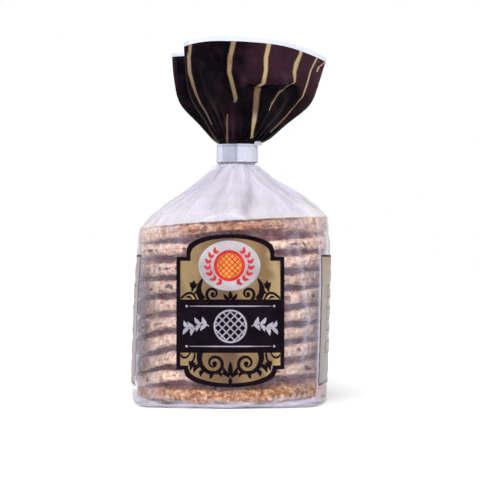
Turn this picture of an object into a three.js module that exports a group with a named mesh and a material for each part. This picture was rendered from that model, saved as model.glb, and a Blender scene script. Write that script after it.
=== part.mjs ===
// A sealed clear bag that holds a stack of ten syrup waffles. The film is gathered at the neck by a
// folded band and flares into an open crown above it. Millimetres, +Z up. The origin is the middle of
// the flat base, and -Y is the front.
import * as THREE from "three";

// The stack, from the bottom waffle up: the height of each one's middle on the axis, how far it rises
// for each millimetre to the right, and how far its soft left edge sags
const waffles = [
  { middle: 6.3, rise: 0.02, sag: 2 },
  { middle: 16.6, rise: 0.044, sag: 3.7 },
  { middle: 25.6, rise: 0.06, sag: 3.9 },
  { middle: 34.6, rise: 0.052, sag: 4.2 },
  { middle: 43.4, rise: 0.053, sag: 2.7 },
  { middle: 52.1, rise: 0.06, sag: 1.2 },
  { middle: 61.2, rise: 0.054, sag: 0.9 },
  { middle: 70, rise: 0.056, sag: 0.2 },
  { middle: 79.5, rise: 0.042, sag: 0.3 },
  { middle: 88.3, rise: 0.06, sag: 0.3 },
];
const topWaffle = waffles.at(-1);
const waffleHalfThickness = 4;
const rimHalfThickness = 2.7;
const sagFrom = -25;
const sagTo = -45;

// The filled body. Its four corner folds go round from the front left, and between them the sides
// bulge outwards by these amounts, from the front round to the left.
const cornerFolds = [
  [-47, -44.5],
  [44.5, -44.5],
  [44.5, 44.5],
  [-47, 44.5],
].map((place) => new THREE.Vector2(...place));
const sideBulges = [6, 7.9, 6, 5.4];
const bodyHalfWidth = 52.4;
const bodyHalfDepth = 50.5;

// How far the body reaches to the left and to the right at these heights
const leftReach = [[0, 51], [14, 52], [30, 51.4], [44, 51], [60, 50], [72, 49.2], [84, 48.2], [96, 46.4]];
const rightReach = [[0, 50], [20, 50.8], [44, 51.7], [60, 52.2], [70, 52.4], [80, 51.9], [100, 50]];
const topDepthShare = 0.982;
const footDepthShare = 0.994;
const footTo = 20;
const topFrom = 60;
const footInset = 3.4;
const footRound = 2.6;
const footCornerInset = 8;
const footCornerLift = 2.2;
const ridgeDepth = 1;
const gussetRidgeShare = 0.4;

// The neck in its band, and the crown over it
const neckX = 2.7;
const neckHalfWidth = 9.2;
const neckHalfDepth = 6.2;
const neckPleats = 20;
const neckPleatShare = 0.04;
const bandHeight = 9.3;
const bandBottom = 124;
const bandTop = bandBottom + bandHeight;
const neckClearance = 0.4;

// How the film spreads from the neck: each place is a share of the height of the shoulder or of the
// crown, with the share of its spread reached there
const shoulderSpread = [
  [0, 1],
  [0.187, 0.881],
  [0.374, 0.69],
  [0.561, 0.452],
  [0.729, 0.24],
  [0.87, 0.1],
  [1, 0],
];
const shoulderPleats = 12;
const shoulderPleatShare = 0.14;
const crownOnLeft = [[0, 0], [0.015, 0.12], [0.07, 0.23], [0.22, 0.47], [0.45, 0.84], [0.72, 0.96], [1, 1]];
const crownOnRight = [[0, 0], [0.015, 0.15], [0.06, 0.27], [0.22, 0.49], [0.45, 0.79], [0.72, 0.915], [1, 1]];
const crownPleats = 12;
const crownPleatShare = 0.5;
const crownPleatFade = 1.6;
const crownWall = 1.1;
const sharpestFold = 0.45;

// The rim of the crown, a sixteenth of the film apart from the front middle round to the right. Its
// four outer tips carry on the bag's corner folds, and the gussets fold in between them.
const crownRim = [
  [10, -30, 185.2],
  [31, -24.5, 183],
  [49.6, -6, 178.4],
  [38, 0, 180],
  [29.5, 3, 181.5],
  [35, 8, 181],
  [44, 15, 179.5],
  [30, 26, 182.5],
  [8, 30, 184.5],
  [-14, 26.5, 184.4],
  [-32, 12, 183.8],
  [-18, 6, 183.8],
  [-8, 0.5, 184],
  [-14, -5.5, 184.2],
  [-24.6, -17, 184.8],
  [-11, -27, 186],
].map((place) => new THREE.Vector3(...place));

// The fineness of the film's solid: columns round it, and rings up each stretch
const columns = 80;
const shoulderRings = 8;
const crownSteps = [0.1, 0.2, 0.32, 0.44, 0.56, 0.67, 0.78, 0.89, 1];
const hollowSteps = [1, 0.88, 0.76, 0.65, 0.56];

// The folded band
const bandThickness = 0.7;
const bandGap = 0.15;
const bandSlack = 0.9;
const bandSquareness = 3;
const bandOverlap = 0.12;
const bandLiftsFrom = 0.78;
const bandLiftsTo = 0.96;
const bandSteps = 60;

const fullTurn = 2 * Math.PI;
const across = (turn) => Math.sin(fullTurn * turn);
const ahead = (turn) => -Math.cos(fullTurn * turn);
const wave = (count, turn) => 0.5 + 0.5 * Math.cos(fullTurn * count * turn);

// The filled body seen from above. A turn of 0 is the front middle and 0.25 the right side. Each of
// the four sides bulges between two corner folds; bulge is 1 at a side's middle and 0 at a fold.
function bodyPlan(turn) {
  const quarters = ((turn + 1 / 8) % 1) * 4;
  const side = Math.floor(quarters);
  const along = quarters - side;
  const bulge = 4 * along * (1 - along);
  const outward = new THREE.Vector2(0, -sideBulges[side] * bulge);
  outward.rotateAround(new THREE.Vector2(), (side * Math.PI) / 2);
  const plan = cornerFolds[side].clone().lerp(cornerFolds[(side + 1) % 4], along).add(outward);
  return { plan, bulge, ridgeShare: side % 2 ? gussetRidgeShare : 1 };
}

// The value that a list of places, each a position and its value, gives at a position between them
function valueAt(places, position) {
  const next = places.findIndex(([start]) => start > position);
  if (next < 1) {
    return places.at(next)[1];
  }
  const [low, lowValue] = places[next - 1];
  const [high, highValue] = places[next];
  return THREE.MathUtils.mapLinear(position, low, high, lowValue, highValue);
}

// A point of the film at a height, with an inset that draws it in
function bodyPoint(turn, height, inset = 0) {
  const { plan } = bodyPlan(turn);
  const above = THREE.MathUtils.smoothstep(height, topFrom, topWaffle.middle);
  const below = 1 - THREE.MathUtils.smoothstep(height, 0, footTo);
  const reach = valueAt(plan.x < 0 ? leftReach : rightReach, height);
  const drawnIn = inset / bodyHalfDepth;
  const depthShare = 1 - (1 - topDepthShare) * above - (1 - footDepthShare) * below;
  return new THREE.Vector3(
    plan.x * (reach / bodyHalfWidth - drawnIn),
    plan.y * (depthShare - drawnIn),
    height,
  );
}

function ringOf(pointAt) {
  return Array.from({ length: columns }, (_, column) => pointAt(column / columns));
}

function heightOn({ middle, rise, sag }, x) {
  const sagging = THREE.MathUtils.clamp((sagFrom - x) / (sagFrom - sagTo), 0, 1);
  return middle + rise * x - sag * sagging * sagging;
}

// A ring of the body above or below a waffle's middle
function waffleRing(waffle, above) {
  return ringOf((turn) => bodyPoint(turn, heightOn(waffle, bodyPlan(turn).plan.x) + above));
}

// A ring of the body where the film dips between a waffle and the one below
function dipRing(waffle, below) {
  return ringOf((turn) => {
    const { plan, bulge, ridgeShare } = bodyPlan(turn);
    const height = (heightOn(waffle, plan.x) + heightOn(below, plan.x)) / 2;
    return bodyPoint(turn, height, ridgeDepth * ridgeShare * bulge * bulge);
  });
}

// The foot's round edge, as a share of a quarter turn from the flat base up to the side. At the
// corner folds it is drawn in further and lifts off the ground.
function footRing(share) {
  const tucked = 1 - Math.sin((share * Math.PI) / 2);
  const raised = 1 - Math.cos((share * Math.PI) / 2);
  return ringOf((turn) => {
    const corner = (1 - bodyPlan(turn).bulge) ** 2;
    const inset = (footInset + footCornerInset * corner) * tucked;
    return bodyPoint(turn, (footRound + footCornerLift * corner) * raised, inset);
  });
}

// Two rings on each waffle's edge, and one in the dip under it
function stackRings() {
  return waffles.flatMap((waffle, place) => {
    const upper = waffleRing(waffle, rimHalfThickness);
    if (place === 0) {
      return [upper];
    }
    return [dipRing(waffle, waffles[place - 1]), waffleRing(waffle, -rimHalfThickness), upper];
  });
}

function neckPlan(turn) {
  const pleat = 1 - neckPleatShare * wave(neckPleats, turn);
  return new THREE.Vector2(
    neckX + neckHalfWidth * pleat * across(turn),
    neckHalfDepth * pleat * ahead(turn),
  );
}

function neckRing(height) {
  return ringOf((turn) => {
    const plan = neckPlan(turn);
    return new THREE.Vector3(plan.x, plan.y, height);
  });
}

// The film climbs from the top waffle's rim to the neck, in pleats that deepen on the way.
function shoulderRing(share) {
  const neckHeight = bandBottom - neckClearance;
  const pleatDepth = shoulderPleatShare * Math.sin(Math.PI * share);
  const spread = valueAt(shoulderSpread, share);
  return ringOf((turn) => {
    const neck = neckPlan(turn);
    const start = heightOn(topWaffle, bodyPlan(turn).plan.x) + waffleHalfThickness;
    const edge = bodyPoint(turn, start);
    const pleat = 1 - pleatDepth * wave(shoulderPleats, turn);
    const x = neck.x * (1 - spread) + edge.x * spread * pleat;
    const y = neck.y * (1 - spread) + edge.y * spread * pleat;
    return new THREE.Vector3(x, y, start + (neckHeight - start) * share);
  });
}

const curveThrough = (places) =>
  new THREE.SplineCurve(places.map((place) => new THREE.Vector2(...place)));

// The crown spreads from the neck to its rim, in pleats that fade before the rim.
const rimCurve = new THREE.CatmullRomCurve3(crownRim, true, "catmullrom", 0.5);
const leftSpread = curveThrough(crownOnLeft);
const rightSpread = curveThrough(crownOnRight);

function crownRing(step) {
  const start = bandTop + neckClearance;
  return ringOf((turn) => {
    const rim = rimCurve.getPoint(turn);
    const neck = neckPlan(turn);
    const rightness = THREE.MathUtils.smoothstep(across(turn), -Math.SQRT1_2, Math.SQRT1_2);
    const reached = leftSpread.getPoint(step).lerp(rightSpread.getPoint(step), rightness);
    const { x: share, y: spread } = reached;
    const pleatDepth = crownPleatShare * share * (1 - share) ** crownPleatFade;
    const pleat = 1 - pleatDepth * wave(crownPleats, turn);
    const x = neck.x + (rim.x - neck.x) * spread * pleat;
    const y = neck.y + (rim.y - neck.y) * spread * pleat;
    return new THREE.Vector3(x, y, start + (rim.z - start) * share);
  });
}

// A ring moved inwards by the wall, square to the film, and a little further at a sharp fold
function insetRing(ring, wall) {
  return ring.map((point, place) => {
    const before = ring[(place + columns - 1) % columns];
    const after = ring[(place + 1) % columns];
    const arriving = new THREE.Vector2(point.x - before.x, point.y - before.y).normalize();
    const leaving = new THREE.Vector2(after.x - point.x, after.y - point.y).normalize();
    const halfWay = arriving.clone().add(leaving).normalize();
    const reach = wall / Math.max(sharpestFold, halfWay.dot(arriving));
    return new THREE.Vector3(point.x - halfWay.y * reach, point.y + halfWay.x * reach, point.z);
  });
}

function middleOf(ring, height) {
  const sum = ring.reduce((total, point) => total.add(point), new THREE.Vector3());
  return sum.divideScalar(ring.length).setZ(height);
}

// A closed skin over rings that follow each other, capped by a point at each end
function skinOver(rings, firstCap, lastCap) {
  const places = [firstCap, ...rings.flat(), lastCap];
  const last = places.length - 1;
  const at = (ring, column) => 1 + ring * columns + (column % columns);
  const faces = [];
  for (let column = 0; column < columns; column++) {
    faces.push(0, at(0, column + 1), at(0, column));
    faces.push(last, at(rings.length - 1, column), at(rings.length - 1, column + 1));
    for (let ring = 0; ring + 1 < rings.length; ring++) {
      const corners = [at(ring, column), at(ring, column + 1)];
      const over = [at(ring + 1, column), at(ring + 1, column + 1)];
      faces.push(corners[0], corners[1], over[1], corners[0], over[1], over[0]);
    }
  }
  const geometry = new THREE.BufferGeometry().setFromPoints(places);
  geometry.setIndex(faces);
  geometry.computeVertexNormals();
  return geometry;
}

function bagGeometry() {
  const foot = [0, 0.5, 1].map(footRing);
  const shoulder = Array.from({ length: shoulderRings }, (_, step) =>
    shoulderRing(step / (shoulderRings - 1)),
  );
  const neck = [neckRing(bandBottom + bandHeight / 2), neckRing(bandTop + neckClearance)];
  const crown = crownSteps.map(crownRing);
  const hollow = hollowSteps.map((step) => insetRing(crownRing(step), crownWall));
  const floorRing = hollow.at(-1);
  return skinOver(
    [...foot, ...stackRings(), ...shoulder, ...neck, ...crown, ...hollow],
    new THREE.Vector3(0, 0, 0),
    middleOf(floorRing, floorRing[0].z),
  );
}

// The band is one strip that goes once round the neck and laps over its own start, so that its
// outer end stands at the front middle.
function bandGeometry() {
  const lift = bandThickness + bandGap;
  const rounded = (value) => Math.sign(value) * Math.abs(value) ** (2 / bandSquareness);
  const pointAt = (turns, offset) => {
    const turn = bandOverlap - turns;
    const raised = lift * THREE.MathUtils.smoothstep(turns, bandLiftsFrom, bandLiftsTo) + offset;
    return new THREE.Vector2(
      (neckHalfWidth + bandSlack + raised) * rounded(across(turn)),
      (neckHalfDepth + bandSlack + raised) * rounded(ahead(turn)),
    );
  };
  const turnsAt = (step) => (step / bandSteps) * (1 + bandOverlap);
  const steps = Array.from({ length: bandSteps + 1 }, (_, step) => step);
  const inside = steps.map((step) => pointAt(turnsAt(step), 0));
  const outside = steps.map((step) => pointAt(turnsAt(step), bandThickness)).reverse();
  return new THREE.ExtrudeGeometry(new THREE.Shape([...inside, ...outside]), {
    depth: bandHeight,
    bevelEnabled: false,
  });
}

const filledFilm = new THREE.MeshStandardMaterial({
  color: new THREE.Color(0.8, 0.66, 0.52),
  roughness: 0.35,
  metalness: 0,
});
const whiteBand = new THREE.MeshStandardMaterial({
  color: new THREE.Color(0.86, 0.87, 0.92),
  roughness: 0.5,
  metalness: 0,
});

const bag = new THREE.Mesh(bagGeometry(), filledFilm);
bag.name = "bag";

const band = new THREE.Mesh(bandGeometry(), whiteBand);
band.name = "band";
band.position.set(neckX, 0, bandBottom);

const pack = new THREE.Group();
pack.add(bag, band);

export default pack;
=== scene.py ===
import bpy
import numpy as np
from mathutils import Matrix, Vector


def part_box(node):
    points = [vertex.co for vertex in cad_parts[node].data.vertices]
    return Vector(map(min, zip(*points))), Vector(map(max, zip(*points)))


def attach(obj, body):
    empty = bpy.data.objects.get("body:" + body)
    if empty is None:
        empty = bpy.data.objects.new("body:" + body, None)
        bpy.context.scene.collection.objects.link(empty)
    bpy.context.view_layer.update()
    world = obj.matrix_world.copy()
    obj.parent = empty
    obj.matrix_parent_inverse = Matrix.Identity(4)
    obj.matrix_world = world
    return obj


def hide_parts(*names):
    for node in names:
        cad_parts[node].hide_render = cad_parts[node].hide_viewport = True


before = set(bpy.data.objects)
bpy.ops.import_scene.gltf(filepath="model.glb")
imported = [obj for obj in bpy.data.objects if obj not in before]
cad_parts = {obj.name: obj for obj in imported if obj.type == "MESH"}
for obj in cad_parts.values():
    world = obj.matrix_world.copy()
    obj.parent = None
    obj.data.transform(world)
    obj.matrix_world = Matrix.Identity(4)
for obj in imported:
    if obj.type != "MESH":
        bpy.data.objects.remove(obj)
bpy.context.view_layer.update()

# A clear film bag with ten syrup waffles. Sizes are millimetres until a mesh is made.
mm = 0.001
fullTurn = 2 * np.pi
bagLow, bagHigh = [np.array(corner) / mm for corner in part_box("bag")]
bandLow, bandHigh = [np.array(corner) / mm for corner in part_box("band")]

body = {
    "halfWidth": bagHigh[0],
    "halfDepth": bagHigh[1],
    # the corner folds from the front left round, and how far the sides bulge between them
    "folds": [(-47, -44.5), (44.5, -44.5), (44.5, 44.5), (-47, 44.5)],
    "bulges": (6, 7.9, 6, 5.4),
    # how far the body reaches to the left and to the right at these heights
    "leftReach": [(0, 51), (14, 52), (30, 51.4), (44, 51), (60, 50), (72, 49.2), (84, 48.2), (96, 46.4)],
    "rightReach": [(0, 50), (20, 50.8), (44, 51.7), (60, 52.2), (70, 52.4), (80, 51.9), (100, 50)],
    "topDepthShare": 0.982,
    "footDepthShare": 0.994,
    "topFrom": 60,
    "footTo": 20,
    "footInset": 3.4,
    "footRound": 2.6,
    "footCornerInset": 8,
    "footCornerLift": 2.2,
    "ridgeDepth": 1,
    "ridgeWidth": 1.7,
    "gussetRidgeShare": 0.4,
    # where the print on the front and the back stiffens the film, fading out between these measures
    "stiffUntil": (27, 30),
    "stiffFrom": (7, 12),
    "stiffTo": (84, 88),
    "girth": 372,
}
neck = {
    "x": (bandLow[0] + bandHigh[0]) / 2,
    "bottom": bandLow[2],
    "top": bandHigh[2],
    "halfWidth": 9.2,
    "halfDepth": 6.2,
    "pleats": 20,
    "pleatShare": 0.04,
    "clearance": 0.4,
}
# Each waffle from the bottom up: its middle's height, its rise to the right, the sag of its left edge
stack = [
    (6.3, 0.02, 2), (16.6, 0.044, 3.7), (25.6, 0.06, 3.9), (34.6, 0.052, 4.2), (43.4, 0.053, 2.7),
    (52.1, 0.06, 1.2), (61.2, 0.054, 0.9), (70, 0.056, 0.2), (79.5, 0.042, 0.3), (88.3, 0.06, 0.3),
]
sagFrom, sagTo = -25, -45
waffleHalfThickness = 4
eye = {"x": 4.7, "distance": 700, "height": 72.5, "tilt": 0.883, "lens": 99.75, "sensor": 36}


def smoothStep(value, low, high):
    share = np.clip((value - low) / (high - low), 0, 1)
    return share * share * (3 - 2 * share)


def wave(count, turn, phase=0.0):
    return 0.5 + 0.5 * np.cos(fullTurn * count * turn + phase)


def heightOn(waffle, x):
    middle, rise, sag = waffle
    sagging = np.clip((sagFrom - x) / (sagFrom - sagTo), 0, 1)
    return middle + rise * x - sag * sagging ** 2


def curveThrough(knots, share, closed=False):
    # a smooth curve through the knots, at shares of its length counted in knots
    knots = np.asarray(knots, float)
    count = len(knots)
    place = np.asarray(share, float) * (count if closed else count - 1)
    first = np.floor(place).astype(int)
    if not closed:
        first = np.clip(first, 0, count - 2)
    part = (place - first)[..., None]

    def knot(step):
        index = first + step
        return knots[index % count if closed else np.clip(index, 0, count - 1)]

    start, end = knot(0), knot(1)
    leaving, arriving = (end - knot(-1)) / 2, (knot(2) - start) / 2
    bend = 3 * (end - start) - 2 * leaving - arriving
    swing = 2 * (start - end) + leaving + arriving
    return start + leaving * part + bend * part ** 2 + swing * part ** 3


def grain(points, size, seed):
    # smooth random values from -1 to 1, one draw for each corner of a lattice of that size
    cell = np.asarray(points, float) / size
    base = np.floor(cell).astype(np.int64)
    part = cell - base
    part = part * part * (3 - 2 * part)
    total = 0
    for corner in np.ndindex(2, 2, 2):
        place = base + np.array(corner)
        draw = place @ np.array([374761393, 668265263, 1442695041]) + seed * 97531
        draw = (draw ^ (draw >> 13)) * 1274126177
        draw = ((draw ^ (draw >> 16)) & 0xFFFF) / 65535
        total = total + draw * np.prod(np.where(np.array(corner) == 1, part, 1 - part), axis=-1)
    return 2 * total - 1


def fromPhoto(red, green, blue):
    # a colour in 255 parts, as a picture shows it, made linear
    shown = np.array([red, green, blue]) / 255
    linear = np.where(shown <= 0.04045, shown / 12.92, ((shown + 0.055) / 1.055) ** 2.4)
    return (*linear.tolist(), 1)


def placed(name, data):
    # an object that shows the data, in the scene
    made = bpy.data.objects.new(name, data)
    bpy.context.scene.collection.objects.link(made)
    return made


def meshPiece(name, points, faces, materials, faceMaterials=None, attributes=None, sharpFrom=None):
    mesh = bpy.data.meshes.new(name)
    mesh.from_pydata((np.asarray(points) * mm).tolist(), [], faces)
    for material in materials:
        mesh.materials.append(material)
    mesh.polygons.foreach_set("use_smooth", [True] * len(mesh.polygons))
    if faceMaterials is not None:
        mesh.polygons.foreach_set("material_index", np.asarray(faceMaterials, np.int32))
    for attribute, values in (attributes or {}).items():
        layer = mesh.attributes.new(attribute, "FLOAT", "POINT")
        layer.data.foreach_set("value", np.asarray(values, np.float32))
    mesh.update()
    if sharpFrom:
        mesh.set_sharp_from_angle(angle=np.radians(sharpFrom))
    piece = placed(name, mesh)
    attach(piece, "root")
    return piece


def gridFaces(rows, columns, closed=True, start=0):
    # quads over rows of points, joined round if closed, with faces out for a turn that runs rightwards
    places = np.arange(columns if closed else columns - 1)
    row, column = np.meshgrid(np.arange(rows - 1) * columns, places, indexing="ij")
    after = row + (column + 1) % columns
    quads = [row + column, after, after + columns, row + columns + column]
    return (np.stack(quads, axis=-1).reshape(-1, 4) + start).tolist()


def shellFaces(rows, columns):
    # both skins of a thin sheet and its edge, where the points give one skin after the other
    count = rows * columns
    index = np.arange(count).reshape(rows, columns)
    rim = np.concatenate([index[0], index[1:, -1], index[-1, -2::-1], index[-2:0:-1, 0]])
    after = np.roll(rim, -1)
    skin = np.array(gridFaces(rows, columns, closed=False))
    edge = np.stack([rim, after, after + count, rim + count], axis=-1)
    return np.concatenate([skin[:, ::-1], skin + count, edge])


# Materials

def newMaterial(name, roughness, specular, coat=0.0, color=(0.8, 0.8, 0.8, 1)):
    material = bpy.data.materials.new(name)
    material.use_nodes = True
    for socket, value in (("Base Color", color), ("Roughness", roughness), ("Specular IOR Level", specular),
                          ("Coat Weight", coat), ("Coat Roughness", 0.1)):
        shaderSockets(material)[socket].default_value = value
    return material


def shaderSockets(material):
    return material.node_tree.nodes["Principled BSDF"].inputs


def feed(material, socket, value):
    # a socket takes an output, a colour in 255 parts or a plain number
    if isinstance(value, bpy.types.NodeSocket):
        material.node_tree.links.new(value, socket)
    else:
        socket.default_value = fromPhoto(*value) if isinstance(value, tuple) else value


def addNode(material, kind, settings=None, **sources):
    # a node with its settings by attribute or socket name, fed by the given outputs
    node = material.node_tree.nodes.new(kind)
    for key, value in (settings or {}).items():
        if key in node.inputs:
            node.inputs[key].default_value = value
        else:
            setattr(node, key, value)
    for socket, source in sources.items():
        feed(material, node.inputs[socket], source)
    return node


def plug(material, source, socket):
    feed(material, shaderSockets(material)[socket], source)


def placeIn(material, stretch):
    # the piece's own coordinates, stretched where a finish runs one way
    place = addNode(material, "ShaderNodeTexCoord").outputs["Object"]
    if not stretch:
        return place
    return addNode(material, "ShaderNodeMapping", {"Scale": stretch}, Vector=place).outputs["Vector"]


def noise(material, size, detail, roughness=0.55, stretch=None):
    # cloudy values from 0 to 1 with features of about that many millimetres
    settings = {"Scale": 1 / (size * mm), "Detail": detail, "Roughness": roughness}
    node = addNode(material, "ShaderNodeTexNoise", settings, Vector=placeIn(material, stretch))
    return node.outputs["Fac"]


def ramp(material, source, stops):
    # colours by place, as rows of (place, red, green, blue)
    node = addNode(material, "ShaderNodeValToRGB", Fac=source)
    elements = node.color_ramp.elements
    node.color_ramp.interpolation = "EASE"
    while len(elements) < len(stops):
        elements.new(0.5)
    for element, (place, *color) in zip(elements, stops):
        element.position = place
        element.color = fromPhoto(*color)
    return node.outputs["Color"]


def spread(material, source, low, high, toLow, toHigh):
    settings = {"From Min": low, "From Max": high, "To Min": toLow, "To Max": toHigh}
    return addNode(material, "ShaderNodeMapRange", settings, Value=source).outputs["Result"]


def added(material, first, second):
    node = addNode(material, "ShaderNodeMath", {"operation": "ADD"})
    for socket, value in zip(node.inputs, (first, second)):
        feed(material, socket, value)
    return node.outputs["Value"]


def blendColors(material, share, first, second):
    node = addNode(material, "ShaderNodeMix", {"data_type": "RGBA"})
    for socket, value in zip([socket for socket in node.inputs if socket.type == "RGBA"], (first, second)):
        feed(material, socket, value)
    feed(material, node.inputs["Factor"], share)
    return [socket for socket in node.outputs if socket.type == "RGBA"][0]


def bump(material, height, distance):
    node = addNode(material, "ShaderNodeBump", {"Distance": distance * mm, "Strength": 1}, Height=height)
    plug(material, node.outputs["Normal"], "Normal")


def pieceValue(material, name):
    return addNode(material, "ShaderNodeAttribute", {"attribute_name": name}).outputs["Fac"]


def clouded(material, name, cloud):
    # one of the piece's own values with clouds over it, from 0 to 1
    return spread(material, added(material, pieceValue(material, name), cloud), 0, 1, 0, 1)


def filmMaterial(name, tint, shade):
    # clear film, as white as the piece's own "haze" says
    material = newMaterial(name, roughness=0.2, specular=0.9)
    broad = noise(material, 11, 3)
    haze = added(material, pieceValue(material, "haze"), spread(material, broad, 0.35, 0.65, -0.05, 0.05))
    plug(material, spread(material, haze, 0.04, 1, 0.04, 1), "Alpha")
    plug(material, blendColors(material, broad, tint, shade), "Base Color")
    bump(material, noise(material, 6, 2, 0.4), 0.2)
    return material


def inkMaterial(name, color, other, roughness=0.36, specular=0.4, grainSize=7):
    # print on the film: two close tones in clouds, with the film's gloss over them
    material = newMaterial(name, roughness, specular)
    cloud = noise(material, grainSize, 4, 0.55)
    plug(material, ramp(material, cloud, [(0.3, *color), (0.7, *other)]), "Base Color")
    gloss = spread(material, noise(material, 14, 3), 0.3, 0.7, roughness - 0.07, roughness + 0.07)
    plug(material, gloss, "Roughness")
    bump(material, noise(material, 6, 3, 0.5), 0.12)
    return material


def crownMaterial(name, low, high, roughness, specular, source="lit", lift=0.0):
    # print that runs from a colour in painted shade to one in painted light by the crown's own "lit" or
    # "shine"
    material = newMaterial(name, roughness, specular)
    cloud = spread(material, noise(material, 8, 4, 0.55), 0.3, 0.7, lift - 0.17, lift + 0.17)
    plug(material, blendColors(material, clouded(material, source, cloud), low, high), "Base Color")
    bump(material, noise(material, 5, 3, 0.5), 0.14)
    return material


def goldMaterial(name, stops, cloudiness=0.06):
    # gold or lilac print whose colours run over a panel by the piece's own "across"
    material = newMaterial(name, roughness=0.36, specular=0.5)
    cloud = spread(material, noise(material, 10, 3), 0.3, 0.7, -cloudiness, cloudiness)
    across = added(material, pieceValue(material, "across"), cloud)
    plug(material, ramp(material, across, stops), "Base Color")
    bump(material, noise(material, 6, 3, 0.5), 0.1)
    return material


def waferMaterial():
    # crumbs from pale to a baked colour by the piece's own browning value, which also paints shade in the
    # gaps between waffles, and golden by its "toast"
    material = newMaterial("bakedWafer", roughness=0.8, specular=0.15)
    crumb = noise(material, 2.3, 4, 0.66)
    patch = spread(material, noise(material, 6, 3, 0.6), 0.35, 0.65, -0.16, 0.16)
    pale = ramp(material, crumb, [
        (0.29, 156, 94, 82), (0.38, 208, 154, 134), (0.47, 232, 194, 170), (0.62, 246, 230, 216),
    ])
    brownAndShade = ramp(material, crumb, [(0.3, 72, 8, 24), (0.7, 128, 48, 48)])
    golden = ramp(material, crumb, [
        (0.3, 82, 32, 10), (0.43, 148, 88, 48), (0.56, 200, 152, 104), (0.68, 232, 204, 166),
    ])
    toasted = spread(material, pieceValue(material, "toast"), 0, 1, 0, 1)
    crust = blendColors(material, clouded(material, "bakeAndPaintedShade", patch), pale, brownAndShade)
    plug(material, blendColors(material, toasted, crust, golden), "Base Color")
    bump(material, noise(material, 0.9, 4, 0.7), 0.5)
    return material


def syrupMaterial():
    material = newMaterial("caramelSyrup", roughness=0.3, specular=0.5, coat=0.4)
    color = ramp(material, noise(material, 4, 3), [(0.3, 66, 26, 12), (0.7, 128, 62, 26)])
    plug(material, color, "Base Color")
    bump(material, noise(material, 2.2, 3), 0.3)
    return material


def tapeMaterial():
    # white tape, with painted shade by the piece's own "shade"
    material = newMaterial("neckTape", roughness=0.42, specular=0.45)
    cloud = spread(material, noise(material, 3, 4, 0.6), 0.3, 0.7, -0.12, 0.12)
    shade = clouded(material, "shade", cloud)
    plug(material, blendColors(material, shade, (182, 184, 198), (112, 114, 138)), "Base Color")
    bump(material, noise(material, 1.1, 4, 0.6, stretch=(1, 1, 0.2)), 0.12)
    return material


clearFilm = filmMaterial("clearFilm", (206, 203, 220), (186, 179, 202))
marginFilm = filmMaterial("marginFilm", (190, 194, 218), (178, 182, 210))
# the crown's print, each with a colour in painted shade and one in painted light
darkPrint = crownMaterial("darkPrint", (3, 0, 3), (55, 31, 41), 0.22, 0.04)
crownGold = crownMaterial("crownGold", (92, 68, 46), (160, 138, 102), 0.34, 0.35, "shine", 0.3)
goldEdge = crownMaterial("goldEdge", (54, 32, 18), (120, 88, 46), 0.38, 0.35)
labelDark = inkMaterial("labelDark", (5, 0, 6), (16, 5, 16), 0.3, 0.06)
# the label's gold print, its metallic sheen painted in as paler and darker bands across it
labelGold = goldMaterial("labelGold", [
    (0, 104, 83, 54), (0.1, 128, 105, 69), (0.28, 102, 76, 46), (0.5, 82, 56, 32), (0.66, 120, 94, 58),
    (0.8, 104, 78, 46), (0.93, 146, 122, 84), (1, 124, 100, 70),
])
# the side panels' colours run up them
panelGold = goldMaterial("panelGold", [
    (0, 116, 101, 105), (0.4, 124, 106, 105), (0.7, 132, 113, 104), (1, 148, 126, 100),
], cloudiness=0.09)
panelLilac = goldMaterial("panelLilac", [
    (0, 112, 86, 88), (0.35, 122, 98, 101), (0.7, 138, 119, 123), (1, 146, 131, 135),
])
ovalWhite = inkMaterial("ovalWhite", (134, 128, 136), (168, 160, 166), grainSize=12)
silverPrint = inkMaterial("silverPrint", (128, 122, 136), (158, 152, 164))
redPrint = inkMaterial("redPrint", (150, 10, 14), (186, 22, 20))
warmGold = inkMaterial("warmGold", (166, 104, 22), (204, 146, 44))
wafer = waferMaterial()
syrup = syrupMaterial()
tape = tapeMaterial()
print("materials made")


# The film over the stack

def bodyPlan(turn):
    # the body seen from above: 0 is the front middle, 0.25 the right side
    quarters = ((np.asarray(turn, float) + 0.125) % 1) * 4
    side = np.floor(quarters).astype(int) % 4
    along = quarters - side
    bulge = 4 * along * (1 - along)
    folds = np.array(body["folds"])
    start, end = folds[side], folds[(side + 1) % 4]
    out, angle = np.array(body["bulges"])[side] * bulge, side * np.pi / 2
    x = start[..., 0] + (end - start)[..., 0] * along + out * np.sin(angle)
    y = start[..., 1] + (end - start)[..., 1] * along - out * np.cos(angle)
    return x, y, bulge, side


def sharesAt(x, height):
    # how much of its full width and depth the body has at a height, on the side where x lies
    left, right = [np.array(body[name]).T for name in ("leftReach", "rightReach")]
    reach = np.where(x < 0, np.interp(height, *left), np.interp(height, *right))
    above = smoothStep(height, body["topFrom"], stack[-1][0])
    below = 1 - smoothStep(height, 0, body["footTo"])
    depthShare = 1 - (1 - body["topDepthShare"]) * above - (1 - body["footDepthShare"]) * below
    return reach / body["halfWidth"], depthShare


def bodyPoint(turn, height, inset=0.0):
    x, y = bodyPlan(turn)[:2]
    widthShare, depthShare = sharesAt(x, height)
    drawnIn = inset / body["halfDepth"]
    return np.stack([x * (widthShare - drawnIn), y * (depthShare - drawnIn), height + 0 * x], axis=-1)


def footPoint(turn, share):
    # the round edge from the flat base up to the side, drawn in and lifted at the corner folds
    corner = (1 - bodyPlan(turn)[2]) ** 2
    tucked, raised = 1 - np.sin(share * np.pi / 2), 1 - np.cos(share * np.pi / 2)
    inset = (body["footInset"] + body["footCornerInset"] * corner) * tucked
    return bodyPoint(turn, (body["footRound"] + body["footCornerLift"] * corner) * raised, inset)


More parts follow.
